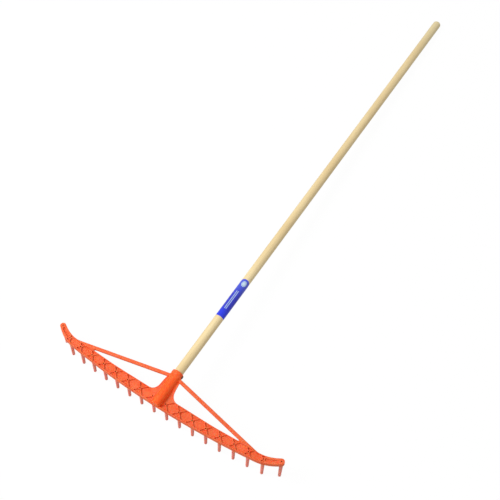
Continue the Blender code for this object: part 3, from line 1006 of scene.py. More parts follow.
@dataclass(frozen=True)
class RailPlate(SubAssembly):
    """Ribbed rail: rims, crossing ribs and bosses on top, a shallow channel underneath."""

    line: RailLine
    depth: float = 13.0 * MM
    rim: float = 2.2 * MM
    rib: float = 2.0 * MM
    boss: float = 4.0 * MM
    boss_steps: int = 8
    pocket_depth: float = 4.0 * MM
    floor: float = 2.8 * MM
    corner: float = 1.3 * MM
    top_round: float = 0.45 * MM
    outer_round: float = 0.8 * MM
    under_round: float = 0.5 * MM
    draft: float = 0.12 * MM
    fillet: float = 0.6 * MM
    hole: float = 1.8 * MM
    hole_round: float = 0.3 * MM
    hole_sides: int = 24
    slot_half: float = 3.4 * MM
    slot_steps: int = 12
    solid_half: float = 14.0 * MM
    end_solid: float = 9.6 * MM
    channel_steps: int = 60
    channel_corner: float = 2.0 * MM
    channel_lip: tuple[Flat, ...] = ((-0.4 * MM, 0.0), (-0.12 * MM, 0.12 * MM), (0.0, 0.4 * MM))
    channel_draft: float = 0.2 * MM
    channel_fillet: float = 0.8 * MM
    round_steps: int = 4
    rim_tries: int = 12

    @property
    def roof(self) -> float:
        """Height of the channels' roof, under the pockets' floor."""
        return -self.pocket_depth - self.floor

    @property
    def rib_shift(self) -> float:
        """Half of a rib's thickness, measured along the rail."""
        return self.rib / 2 * math.sqrt(2)

    def inner_half(self, u: float) -> float:
        """Half of the width between the two rims."""
        return self.line.half_width(u) - self.rim

    def _meets_rim(self, crossing: float, direction: int, shift: float) -> Flat:
        """Where a rib's side, at 45 degrees from a crossing, meets the rim.

        Args:
            crossing: Place of the crossing along the rail.
            direction: 1 to the right, -1 to the left.
            shift: Distance of the rib's side from its middle, along the rail.

        Returns:
            Place along the rail and distance from its middle line.
        """
        u = crossing
        for _ in range(self.rim_tries):
            u = crossing + direction * (self.inner_half(u) + shift)
        return u, self.inner_half(u)

    def _boss_arc(self, crossing: float, facing: float) -> list[Flat]:
        """Hollow of a pocket round a boss, between the sides of two ribs.

        Args:
            crossing: Place of the boss along the rail.
            facing: Angle from the boss to the pocket.

        Returns:
            Points of the hollow, clockwise round the pocket.
        """
        along = (self.rib_shift + math.sqrt(2 * self.boss ** 2 - self.rib_shift ** 2)) / 2
        spread = math.atan2(along - self.rib_shift, along)
        start, end = facing - spread, facing + spread
        return arc((crossing, 0.0), self.boss, start, end, self.boss_steps)

    def _bay(self, left: float, right: float) -> list[Flat]:
        """Six-sided pocket between two neighbouring crossings.

        Args:
            left: Place of the left crossing.
            right: Place of the right one.

        Returns:
            Its outline in rail coordinates.
        """
        near = list(reversed(self._boss_arc(left, 0.0)))
        far = list(reversed(self._boss_arc(right, math.pi)))
        a = self._meets_rim(left, 1, self.rib_shift)
        b = self._meets_rim(right, -1, self.rib_shift)
        corners = near + [(a[0], -a[1]), (b[0], -b[1])] + far + [b, a]
        radii = [0.0] * len(near) + [self.corner] * 2 + [0.0] * len(far) + [self.corner] * 2
        return rounded(corners, radii)

    def _gore(self, crossing: float, rim: Rim) -> list[Flat]:
        """Three-sided pocket between two ribs and one rim.

        Args:
            crossing: Place of the crossing.
            rim: The rim that closes it.

        Returns:
            Its outline in rail coordinates.
        """
        apex = [(crossing - v, u) for u, v in self._boss_arc(0.0, 0.0)]
        right = self._meets_rim(crossing, 1, -self.rib_shift)
        left = self._meets_rim(crossing, -1, -self.rib_shift)
        corners = list(reversed(apex)) + [right, left]
        outline = rounded(corners, [0.0] * len(apex) + [self.corner] * 2)
        return [(u, rim.value * v) for u, v in outline]

    def _end_slot(self, crossing: float, side: Side) -> list[Flat]:
        """Long pocket between the last crossing and the end tine.

        Args:
            crossing: Place of the crossing.
            side: Which end of the rail.

        Returns:
            Its outline in rail coordinates.
        """
        start = self.slot_half + self.rib_shift
        end = self.line.pitch - self.boss - self.rib - self.slot_half
        nose = arc((end, 0.0), self.slot_half, -math.pi / 2, math.pi / 2, self.slot_steps)
        near = list(reversed(self._boss_arc(0.0, 0.0)))
        outline = [(start, -self.slot_half)] + nose + [(start, self.slot_half)] + near
        return [(crossing + side.value * u, v) for u, v in outline]

    def pockets(self) -> list[list[Flat]]:
        """Outline of every pocket on the rail; there is none where the gusset stands.

        Returns:
            Counter-clockwise outlines.
        """
        crossings = self.line.tines()[1:-1]
        clear = [crossing for crossing in crossings if abs(crossing) > self.line.pitch]
        found = [self._bay(a, b) for a, b in zip(crossings, crossings[1:]) if a * b > 0]
        found += [self._gore(crossing, Rim.FRONT) for crossing in crossings]
        found += [self._gore(crossing, Rim.REAR) for crossing in clear]
        found.append(self._end_slot(crossings[-1], Side.RIGHT))
        found.append(self._end_slot(crossings[0], Side.LEFT))
        return [self._on_rail(outline) for outline in found]

    def channels(self) -> list[list[Flat]]:
        """Outline of the two channels under the rail.

        Returns:
            Counter-clockwise outlines, the right channel first.
        """
        end = self.line.tip_x - self.end_solid
        count = self.channel_steps
        places = [mix(self.solid_half, end, i / count) for i in range(count + 1)]
        front = [(u, -self.inner_half(u)) for u in places]
        right = front + [(u, -v) for u, v in reversed(front)]
        at_end = (places[0], places[-1])
        right = rounded(right, [self.channel_corner if u in at_end else 0.0 for u, _ in right])
        return [self._on_rail(right), self._on_rail([(-u, v) for u, v in right])]

    def _on_rail(self, outline: Sequence[Flat]) -> list[Flat]:
        """Lay an outline in rail coordinates on the bent rail."""
        fine = refined(outline, self.line.spacing)
        return counter_clockwise([self.line.point(u, v) for u, v in fine])

    @staticmethod
    def _walls(
        shape: bmesh.types.BMesh, outline: Sequence[Flat], profile: Sequence[Flat]
    ) -> list[list]:
        """Add the walls of one outline.

        Args:
            shape: Shape that the walls are added to.
            outline: Counter-clockwise outline.
            profile: Inset and height of each loop.

        Returns:
            The loops of vertices.
        """
        loops = []
        for distance, height in profile:
            loops.append([shape.verts.new((x, y, height)) for x, y in inset(outline, distance)])
        for first, second in zip(loops, loops[1:]):
            for i in range(len(first)):
                j = (i + 1) % len(first)
                shape.faces.new((first[i], first[j], second[j], second[i]))
        return loops

    @staticmethod
    def _fill(shape: bmesh.types.BMesh, loops: Iterable[list], facing: float) -> None:
        """Close a level face that is bounded by an outer loop and its holes.

        Args:
            shape: Shape that the face is added to.
            loops: Its loops of vertices.
            facing: 1 for a face that looks up, -1 for one that looks down.
        """
        edges = []
        for loop in loops:
            for i in range(len(loop)):
                edges.append(shape.edges.get((loop[i - 1], loop[i])))
        bmesh.ops.triangle_fill(shape, edges=edges, use_beauty=True, normal=(0.0, 0.0, facing))

    def _falling_round(self, radius: float, edge: Edge) -> list[Flat]:
        """Profile of a rounded edge from a level face down to a wall.

        Args:
            radius: Radius of the round.
            edge: Where the edge stands.

        Returns:
            Inset and height of its loops, from the face.
        """
        reach = edge.value * radius
        turns = quarter_turn(self.round_steps)
        return [(reach * (1 - math.sin(t)), -radius * (1 - math.cos(t))) for t in turns]

    def _skin_profile(self) -> list[Flat]:
        """Profile of the rail's outer wall, with both of its edges rounded.

        Returns:
            Inset and height of its loops, from the top down.
        """
        under = reversed(self._falling_round(self.under_round, Edge.OUTSIDE))
        low = [(inward, -self.depth - height) for inward, height in under]
        return self._falling_round(self.outer_round, Edge.OUTSIDE) + low

    def _pocket_profile(self) -> list[Flat]:
        """Profile of a pocket: rounded edge, drafted wall and fillet.

        Returns:
            Inset and height of its loops.
        """
        low = self.fillet - self.pocket_depth
        fillet = [
            (self.draft + self.fillet * (1 - math.cos(t)), low - self.fillet * math.sin(t))
            for t in quarter_turn(self.round_steps)
        ]
        return self._falling_round(self.top_round, Edge.HOLLOW) + fillet

    def _channel_profile(self) -> list[Flat]:
        """Profile of a channel: lip, drafted wall and fillet up to its roof.

        Returns:
            Inset and height of its loops.
        """
        size = self.channel_fillet
        lip = [(inward, height - self.depth) for inward, height in self.channel_lip]
        fillet = [
            (self.channel_draft + size * (1 - math.cos(t)), self.roof - size * (1 - math.sin(t)))
            for t in quarter_turn(self.round_steps)
        ]
        return lip + fillet

    def build(self) -> bpy.types.Object:
        """Make the rail's mesh in the head's frame.

        Returns:
            One closed mesh.
        """
        shape = bmesh.new()
        skin = self._walls(shape, self.line.outline(), self._skin_profile())
        top_loops = [skin[0]]
        under_loops = [skin[-1]]
        for outline in self.pockets():
            loops = self._walls(shape, outline, self._pocket_profile())
            top_loops.append(loops[0])
            shape.faces.new(loops[-1])
        roofs = []
        for outline in self.channels():
            loops = self._walls(shape, outline, self._channel_profile())
            under_loops.append(loops[0])
            roofs.append([loops[-1]])
        for u in self.line.tines():
            at_end = abs(u) > self.line.tip_x - self.end_solid
            centre = self.line.point(u, 0.0)
            circle = arc(centre, self.hole, 0.0, 2 * math.pi, self.hole_sides)[:-1]
            profile = self._falling_round(self.hole_round, Edge.HOLLOW)
            profile.append((0.0, -self.depth if at_end else self.roof))
            loops = self._walls(shape, circle, profile)
            top_loops.append(loops[0])
            below = under_loops if at_end else roofs[0 if u > 0 else 1]
            below.append(loops[-1])
        self._fill(shape, top_loops, 1.0)
        for loops in (under_loops, *roofs):
            self._fill(shape, loops, -1.0)
        bmesh.ops.recalc_face_normals(shape, faces=shape.faces)
        rail = as_object(shape, "rail")
        even_shading(rail)
        return rail


# Tines

@dataclass(frozen=True)
class Tines(SubAssembly):
    """Row of tapered pegs under the rail, each with a flared root and a blind core hole."""

    line: RailLine
    reach: float = 88.0 * MM
    root: float = 5.2 * MM
    tip: float = 4.05 * MM
    flare: float = 2.2 * MM
    roof: float = -6.8 * MM
    root_sink: float = 1.4 * MM
    flare_sink: float = 0.2 * MM
    hole: float = 1.86 * MM
    hole_depth: float = 13.0 * MM
    round_steps: int = 6
    ring_shares: tuple[float, ...] = (0.2, 0.4, 0.6, 0.8)
    sides: int = 28

    def _peg(self) -> bpy.types.Object:
        """One peg round Z, with its root inside the rail's floor.

        Returns:
            The peg as an object.
        """
        wide = self.root + self.flare
        start = self.roof + self.root_sink
        low = self.roof + self.flare_sink - self.flare
        tip_centre = self.tip - self.reach
        profile = [(0.0, -self.hole_depth), (self.hole, -self.hole_depth), (self.hole, start)]
        profile.append((wide, start))
        profile += arc((wide, low), self.flare, math.pi / 2, math.pi, self.round_steps)
        for share in self.ring_shares:
            profile.append((mix(self.root, self.tip, share), mix(low, tip_centre, share)))
        profile += arc((0.0, tip_centre), self.tip, 0.0, -math.pi / 2, self.round_steps)
        return as_object(lathe(profile, self.sides), "peg")

    def _tree(self) -> bpy.types.GeometryNodeTree:
        """Node tree that stands one peg on each point.

        Returns:
            The tree, with the inputs Points, Peg, Turn and Finish.
        """
        tree = bpy.data.node_groups.new("tine_row", "GeometryNodeTree")
        kinds = {"Points": "Geometry", "Peg": "Object", "Turn": "Float", "Finish": "Material"}
        for name, kind in kinds.items():
            tree.interface.new_socket(name, in_out="INPUT", socket_type="NodeSocket" + kind)
        tree.interface.new_socket("Row", in_out="OUTPUT", socket_type="NodeSocketGeometry")
        given = tree.nodes.new("NodeGroupInput").outputs
        peg = tree.nodes.new("GeometryNodeObjectInfo")
        turn = tree.nodes.new("ShaderNodeCombineXYZ")
        stand = tree.nodes.new("GeometryNodeInstanceOnPoints")
        solid = tree.nodes.new("GeometryNodeRealizeInstances")
        dress = tree.nodes.new("GeometryNodeSetMaterial")
        result = tree.nodes.new("NodeGroupOutput")
        for source, place in (
            (given["Peg"], peg.inputs["Object"]),
            (given["Turn"], turn.inputs["Z"]),
            (given["Points"], stand.inputs["Points"]),
            (peg.outputs["Geometry"], stand.inputs["Instance"]),
            (turn.outputs[0], stand.inputs["Rotation"]),
            (stand.outputs[0], solid.inputs[0]),
            (solid.outputs[0], dress.inputs["Geometry"]),
            (given["Finish"], dress.inputs["Material"]),
            (dress.outputs[0], result.inputs[0]),
        ):
            tree.links.new(source, place)
        return tree

    def build(self, material: bpy.types.Material) -> bpy.types.Object:
        """Make the whole row in the head's frame.

        Args:
            material: Finish of the pegs.

        Returns:
            One mesh object with every peg.
        """
        shape = bmesh.new()
        for u in self.line.tines():
            shape.verts.new((*self.line.point(u, 0.0), 0.0))
        row = as_object(shape, "tines")
        peg = self._peg()
        tree = self._tree()
        step = row.modifiers.new("tines", "NODES")
        step.node_group = tree
        values = {"Peg": peg, "Turn": math.pi / self.sides, "Finish": material}
        for socket in tree.interface.items_tree:
            if socket.in_out == "INPUT" and socket.name in values:
                step[socket.identifier] = values[socket.name]
        apply_modifiers(row)
        bpy.data.objects.remove(peg, do_unlink=True)
        edged_shading(row)
        return row


# Socket, gusset web and stays

@dataclass(frozen=True)
class Pole:
    """Place and size of the handle's axis, which the pieces on it share."""

    tilt: float = math.radians(7.43)
    mouth_y: float = 84.7 * MM
    mouth_z: float = 16.2 * MM
    radius: float = 12.5 * MM
    foot_length: float = 92.0 * MM
    foot_radius: float = 9.2 * MM

    def matrix(self) -> Matrix:
        """Frame of the axis: local Z along the handle, origin at the socket's mouth."""
        turn = Matrix.Rotation(self.tilt - math.pi / 2, 4, "X")
        return Matrix.Translation((0.0, self.mouth_y, self.mouth_z)) @ turn

    def height(self, y: float) -> float:
        """Height of the axis over a place on Y."""
        return self.mouth_z + (y - self.mouth_y) * math.tan(self.tilt)

    def radius_at(self, along: float) -> float:
        """Radius of the tapered foot; along is 0 at the mouth and negative inside."""
        return mix(self.radius, self.foot_radius, -along / self.foot_length)


@dataclass(frozen=True)
class Stays(SubAssembly):
    """Two straight bars from the socket's neck to the shoulders of the rail."""

    line: RailLine
    pole: Pole
    width: float = 9.6 * MM
    height: float = 7.0 * MM
    rounding: float = 1.7 * MM
    start: float = 8.25 * MM
    bar_start: float = 36.0 * MM
    stub_end: float = 46.0 * MM
    thinning: float = 0.5 * MM
    thinning_length: float = 6.0 * MM
    root_from_mouth: float = 15.6 * MM
    end_inset: float = 60.5 * MM
    end_sink: float = 0.8 * MM
    crotch: float = 229.0 * MM
    crotch_radius: float = 1.4 * MM
    crotch_run: float = 3.0 * MM
    rim_lap: float = 1.54 * MM
    straight_rings: int = 12
    crotch_shares: tuple[float, ...] = (1.0, 0.7, 0.4, 0.2, 0.05)
    landing_rings: int = 16

    @property
    def end(self) -> float:
        """Distance at which a stay has run out into the rail's rim."""
        return self.line.tip_x - self.end_inset

    def middle(self, distance: float) -> Flat:
        """Middle of a stay.

        Args:
            distance: Distance from the middle of the rake.

        Returns:
            Place on Y, then height.
        """
        share = (distance - self.start) / (self.end - self.start)
        root = self.pole.mouth_y - self.root_from_mouth
        landing = self.line.rear_edge(self.end) - self.width / 2
        low = -self.height / 2 - self.end_sink
        return mix(root, landing, share), mix(self.pole.height(root), low, share)

    def ring(self, side: Side, distance: float, shrink: float = 0.0) -> list[Solid]:
        """Section of one stay.

        Args:
            side: Which stay.
            distance: Distance from the middle of the rake.
            shrink: How far its sides are drawn in.

        Returns:
            Points round the section.
        """
        y, z = self.middle(distance)
        outer = y + self.width / 2
        inner = y - self.width / 2
        before = (self.crotch - distance) / self.crotch_radius
        if before < 0.0:
            inner = self.line.rear_edge(distance) - self.rim_lap
        elif before < 1.0:
            inner -= self.crotch_radius * (1 - math.sqrt(1 - (1 - before) ** 2))
        low = z - self.height / 2 + shrink
        high = z + self.height / 2 - shrink
        section = bar_section(inner + shrink, outer - shrink, low, high, self.rounding)
        return [(side.value * distance, a, b) for a, b in section]

    def stub(self, side: Side) -> bmesh.types.BMesh:
        """Root of one stay, as a part of the hub, thinned where the bar takes over."""
        rings = [self.ring(side, d) for d in (self.start, self.stub_end - self.thinning_length)]
        return loft(rings + [self.ring(side, self.stub_end, self.thinning)])

    def build(self, side: Side) -> bpy.types.Object:
        """Make one stay in the head's frame, from inside its root to the rail.

        Args:
            side: Which stay.

        Returns:
            One closed mesh.
        """
        full = self.bar_start + self.thinning_length
        straight = self.crotch - self.crotch_run
        count = self.straight_rings
        places = [mix(full, straight, i / count) for i in range(count + 1)]
        places += [self.crotch - self.crotch_radius * share for share in self.crotch_shares]
        count = self.landing_rings
        places += [mix(self.crotch, self.end, i / count) for i in range(1, count + 1)]
        rings = [self.ring(side, self.bar_start, self.thinning)]
        rings += [self.ring(side, distance) for distance in places]
        stay = as_object(loft(rings), f"stay_{side.name.lower()}")
        even_shading(stay)
        return stay


@dataclass(frozen=True)
class Hub(SubAssembly):
    """Tapered socket with its collar, the gusset web and the roots of the stays, moulded as one."""

    line: RailLine
    pole: Pole
    stays: Stays
    clearance: float = 0.3 * MM
    wall: float = 2.6 * MM
    collar_wall: float = 3.7 * MM
    collar_length: float = 12.0 * MM
    collar_step: float = 3.0 * MM
    collar_rounding: float = 2.0 * MM
    mouth_chamfer: float = 1.0 * MM
    nose_wall: float = 11.0 * MM
    nose_rounding: float = 5.0 * MM
    rim: float = 2.2 * MM
    web: float = 3.0 * MM
    lip_height: float = 1.5 * MM
    lip_width: float = 2.2 * MM
    lip_share: float = 0.3
    web_fillet: float = 22.2 * MM
    fillet_turns: Flat = (1.45, 0.13)
    web_top_half: float = 18.6 * MM
    web_flare: float = 0.13
    web_top_y: float = 70.0 * MM
    web_level_y: float = 48.0 * MM
    web_start_y: float = 8.0 * MM
    sink: float = 0.5 * MM
    bed_inset: float = 3.0 * MM
    bed_y: Solid = (-11.0 * MM, 0.0, 15.5 * MM)
    bed_heights: Flat = (-3.4 * MM, -0.03 * MM)
    sides: int = 96
    collar_steps: int = 6
    nose_steps: int = 8
    fillet_rings: int = 16
    side_rings: int = 5
    voxel: float = 0.62 * MM
    softness: float = 0.5
    softening: int = 7

    @property
    def collar_radius(self) -> float:
        """Outer radius of the collar."""
        return self.pole.radius + self.clearance + self.collar_wall

    @property
    def rib_line(self) -> float:
        """Half-width of the web on the rail, where it follows the ribs, at y = 0."""
        return self.line.pitch / 2 - self.line.spine(0.0)

    def _tube(self) -> bmesh.types.BMesh:
        """Outside of the socket: collar, tapered tube and closed nose.

        Returns:
            A solid round the socket's axis.
        """
        outer = self.pole.radius_at
        shell = self.clearance + self.wall
        neck = -self.collar_length - self.collar_step
        end = self.pole.foot_length + self.nose_wall
        nose = outer(-self.pole.foot_length) + shell
        collar = self.collar_radius
        rounding = self.collar_rounding
        centre = (collar - rounding, -rounding)
        profile = [(0.0, 0.0)]
        profile += arc(centre, rounding, math.pi / 2, 0.0, self.collar_steps)
        profile += [(collar, -self.collar_length), (outer(neck) + shell, neck)]
        rounding = self.nose_rounding
        centre = (nose - rounding, rounding - end)
        profile += arc(centre, rounding, 0.0, -math.pi / 2, self.nose_steps)
        return lathe(profile + [(0.0, -end)], self.sides)

    def _bore(self) -> bmesh.types.BMesh:
        """Cutter for the tapered bore.

        Returns:
            A solid round the socket's axis.
        """
        mouth = self.pole.radius + self.clearance
        depth = self.pole.foot_length + self.clearance
        low = self.pole.foot_radius + self.clearance
        wide = mouth + (self.mouth_chamfer + OVERSHOOT)
        profile = [(0.0, OVERSHOOT), (wide, OVERSHOOT), (mouth, -self.mouth_chamfer)]
        return lathe(profile + [(low, -depth), (0.0, -depth)], self.sides)

    def _web_edge(self, y: float, drawn_in: float) -> float:
        """Half-width of the gusset web.

        Args:
            y: Place on Y.
            drawn_in: How far its edge is drawn in.

        Returns:
            The half-width there.
        """
        lean = math.sqrt(1 + self.web_flare ** 2)
        centre_y = self.line.rear_y + self.web_fillet
        side = self.web_top_half + (self.web_top_y - centre_y) * self.web_flare
        centre_x = side + self.web_fillet * lean
        radius = self.web_fillet + drawn_in
        if y >= centre_y - radius * self.web_flare / lean:
            return self.web_top_half + (self.web_top_y - y) * self.web_flare - drawn_in * lean
        drop = min(centre_y - y, radius)
        return centre_x - math.sqrt(radius ** 2 - drop ** 2)

    def _web_level(self, y: float) -> float:
        """Height of the web: flush on the rail, then up to the socket's axis."""
        share = smooth_step((y - self.web_start_y) / (self.web_level_y - self.web_start_y))
        return mix(-self.sink, self.pole.height(y), share)

    def _web_ring(self, y: float, outer: float, inner: float) -> list[Solid]:
        """Section of the web across X, with a raised lip along each edge.

        Args:
            y: Place on Y.
            outer: Half-width of the web.
            inner: Half-width inside its lip.

        Returns:
            Points round the section.
        """
        level = self._web_level(y)
        rise = smooth_step((y - self.line.rear_y) / (self.web_fillet / 2))
        lip = level + self.lip_height * rise
        lip_inner = mix(inner, outer, self.lip_share)
        half = [(outer, level - self.web), (outer, lip), (lip_inner, lip), (inner, level)]
        return [(x, y, z) for x, z in half] + [(-x, y, z) for x, z in reversed(half)]

    def _web(self) -> bmesh.types.BMesh:
        """Web on both sides of the socket, run out into the rail's rear rim by a round fillet.

        Returns:
            One closed solid.
        """
        rings = []
        for y in (self.web_start_y, self.line.rear_y - self.rim):
            half = self.rib_line + y
            rings.append(self._web_ring(y, half, half - self.lip_width))
        run_out = self._web_edge(self.line.rear_y, 0.0)
        y = self.line.rear_y - self.sink
        rings.append(self._web_ring(y, run_out, run_out - self.lip_width))
        centre = self.line.rear_y + self.web_fillet
        count = self.fillet_rings
        turns = [mix(*self.fillet_turns, i / count) for i in range(count + 1)]
        places = [centre - self.web_fillet * math.sin(turn) for turn in turns]
        count = self.side_rings
        places += [mix(places[-1], self.web_top_y, i / count) for i in range(1, count + 1)]
        for y in places:
            inner = self._web_edge(y, self.lip_width)
            rings.append(self._web_ring(y, self._web_edge(y, 0.0), inner))
        return loft(rings)

    def _bed(self) -> bmesh.types.BMesh:
        """Thin filler under the rail's top, so that softening leaves a fillet where they meet.

        Returns:
            One closed solid.
        """
        low, high = self.bed_heights
        rings = []
        for y in self.bed_y:
            half = self.rib_line - self.bed_inset + y
            rings.append([(-half, y, low), (half, y, low), (half, y, high), (-half, y, high)])
        return loft(rings)

    def build(self, seat: bmesh.types.BMesh, seat_place: Matrix) -> bpy.types.Object:
        """Make the hub in the head's frame.

        Args:
            seat: Cutter for the screw's seat and hole.
            seat_place: Frame of that cutter.

        Returns:
            The softened, closed mesh.
        """
        hub = as_object(self._tube(), "hub", self.pole.matrix())
        stubs = [self.stays.stub(side) for side in Side]
        for extra in (self._web(), self._bed(), *stubs):
            boolean(hub, as_object(extra, "extra"), Joining.ADD)
        boolean(hub, as_object(self._bore(), "bore", self.pole.matrix()), Joining.CUT)
        boolean(hub, as_object(seat, "seat", seat_place), Joining.CUT)
        solid = hub.modifiers.new("solid", "REMESH")
        solid.mode = "VOXEL"
        solid.voxel_size = self.voxel
        soft = hub.modifiers.new("soft", "SMOOTH")
        soft.factor = self.softness
        soft.iterations = self.softening
        apply_modifiers(hub)
        hub.data.shade_smooth()
        return hub


# Screw

@dataclass(frozen=True)
class Screw(SubAssembly):
    """Round-headed screw with a cross recess, through the collar into the handle."""

    node = Node.SCREW
    slot = Slot.STEEL

    pole: Pole
    collar_radius: float
    from_mouth: float = 5.8 * MM
    head_radius: float = 4.4 * MM
    head_height: float = 1.6 * MM
    head_rim: float = 0.35
    head_round: float = 0.2 * MM
    shank: float = 2.0 * MM
    length: float = 18.0 * MM
    point: float = 4.0 * MM
    thread_start: float = -0.8 * MM
    thread_pitch: float = 0.8 * MM
    thread_root: float = 0.8
    thread_turns: int = 13
    seat_radius: float = 4.8 * MM
    seat_depth: float = 0.8 * MM
    gap: float = 0.3 * MM
    recess: float = 2.5 * MM
    recess_half: float = 0.45 * MM
    recess_depth: float = 1.3 * MM
    recess_foot: Flat = (0.45, 0.6)
    recess_rise: float = 0.5 * MM
    recess_turn: float = 0.5
    dome_steps: int = 10
    seat_sides: int = 40
    sides: int = 48
    sharp_angle: float = math.radians(35)

    def matrix(self) -> Matrix:
        """Frame of the screw: local Z points out of the collar along +X.

        Returns:
            The matrix, with its origin in the seat's floor.
        """
        along = Vector((0.0, math.cos(self.pole.tilt), math.sin(self.pole.tilt)))
        place = Vector((0.0, self.pole.mouth_y, self.pole.mouth_z)) - along * self.from_mouth
        place.x = self.collar_radius - self.seat_depth
        return Matrix.Translation(place) @ Matrix.Rotation(math.pi / 2, 4, "Y")

    def seat(self) -> bmesh.types.BMesh:
        """Cutter for the flat seat and the hole.

        Returns:
            A solid round the screw's axis.
        """
        hole = self.shank + self.gap
        depth = -self.length - self.gap
        profile = [(0.0, OVERSHOOT), (self.seat_radius, OVERSHOOT), (self.seat_radius, 0.0)]
        return lathe(profile + [(hole, 0.0), (hole, depth), (0.0, depth)], self.seat_sides)

    def _turned(self) -> bmesh.types.BMesh:
        """Head, threaded shank and point, without the recess.

        Returns:
            A solid round the screw's axis.
        """
        profile = []
        for turn in quarter_turn(self.dome_steps):
            height = self.head_height * mix(self.head_rim, 1.0, math.cos(turn))
            profile.append((self.head_radius * math.sin(turn), self.gap + height))
        profile.append((self.head_radius, self.gap + self.head_round))
        profile += [(self.head_radius - self.head_round, self.gap), (self.shank, self.gap)]
        for i in range(self.thread_turns):
            share = i / self.thread_turns
            crest = mix(self.thread_start, self.point - self.length, share)
            root = (self.shank * self.thread_root, crest - self.thread_pitch / 2)
            profile += [(self.shank, crest), root, (self.shank, crest - self.thread_pitch)]
        return lathe(profile + [(0.0, -self.length)], self.sides)

    def _recess_arm(self) -> bmesh.types.BMesh:
        """Cutter for one arm of the cross recess.

        Returns:
            A wedge that narrows downwards.
        """
        top = self.gap + self.head_height
        floor = (top - self.recess_depth, *self.recess_foot)
        rings = []
        for height, reach, breadth in (floor, (top + self.recess_rise, 1.0, 1.0)):
            long, short = self.recess * reach, self.recess_half * breadth
            corners = ((-long, -short), (long, -short), (long, short), (-long, short))
            rings.append([(x, y, height) for x, y in corners])
        return loft(rings)

    def build(self) -> bpy.types.Object:
        """Make the screw in the head's frame.

        Returns:
            One closed mesh.
        """
        screw = as_object(self._turned(), "screw")
        for turn in (0.0, math.pi / 2):
            place = Matrix.Rotation(turn + self.recess_turn, 4, "Z")
            boolean(screw, as_object(self._recess_arm(), "arm", place), Joining.CUT)
        screw.data.transform(self.matrix())
        edged_shading(screw, self.sharp_angle)
        return screw


# Handle and label

@dataclass(frozen=True)
class Handle(SubAssembly):
    """Round pole with a domed free end and a tapered foot."""

    node = Node.HANDLE
    slot = Slot.WOOD

    pole: Pole
    length: float = 1480.0 * MM
    end_rounding: float = 8.0 * MM
    crown: tuple[Flat, ...] = ((0.0, 0.5 * MM), (2.0 * MM, 0.4 * MM))
    foot_chamfer: float = 1.2 * MM
    end_run: float = 30.0 * MM
    end_steps: int = 14
    rings: int = 24
    sides: int = 96

    def build(self) -> bpy.types.Object:
        """Make the handle in the head's frame.

        Returns:
            One closed mesh.
        """
        radius = self.pole.radius
        rounding = self.end_rounding
        foot = self.pole.foot_length
        foot_radius = self.pole.foot_radius
        centre = (radius - rounding, self.length - rounding)
        profile = [(out, self.length + up) for out, up in self.crown]
        profile += arc(centre, rounding, math.pi / 2, 0.0, self.end_steps)
        for i in range(self.rings + 1):
            profile.append((radius, mix(self.length - self.end_run, 0.0, i / self.rings)))
        profile.append((foot_radius, self.foot_chamfer - foot))
        profile += [(foot_radius - self.foot_chamfer, -foot), (0.0, -foot)]
        handle = as_object(lathe(profile, self.sides), "pole", self.pole.matrix())
        even_shading(handle)
        return handle


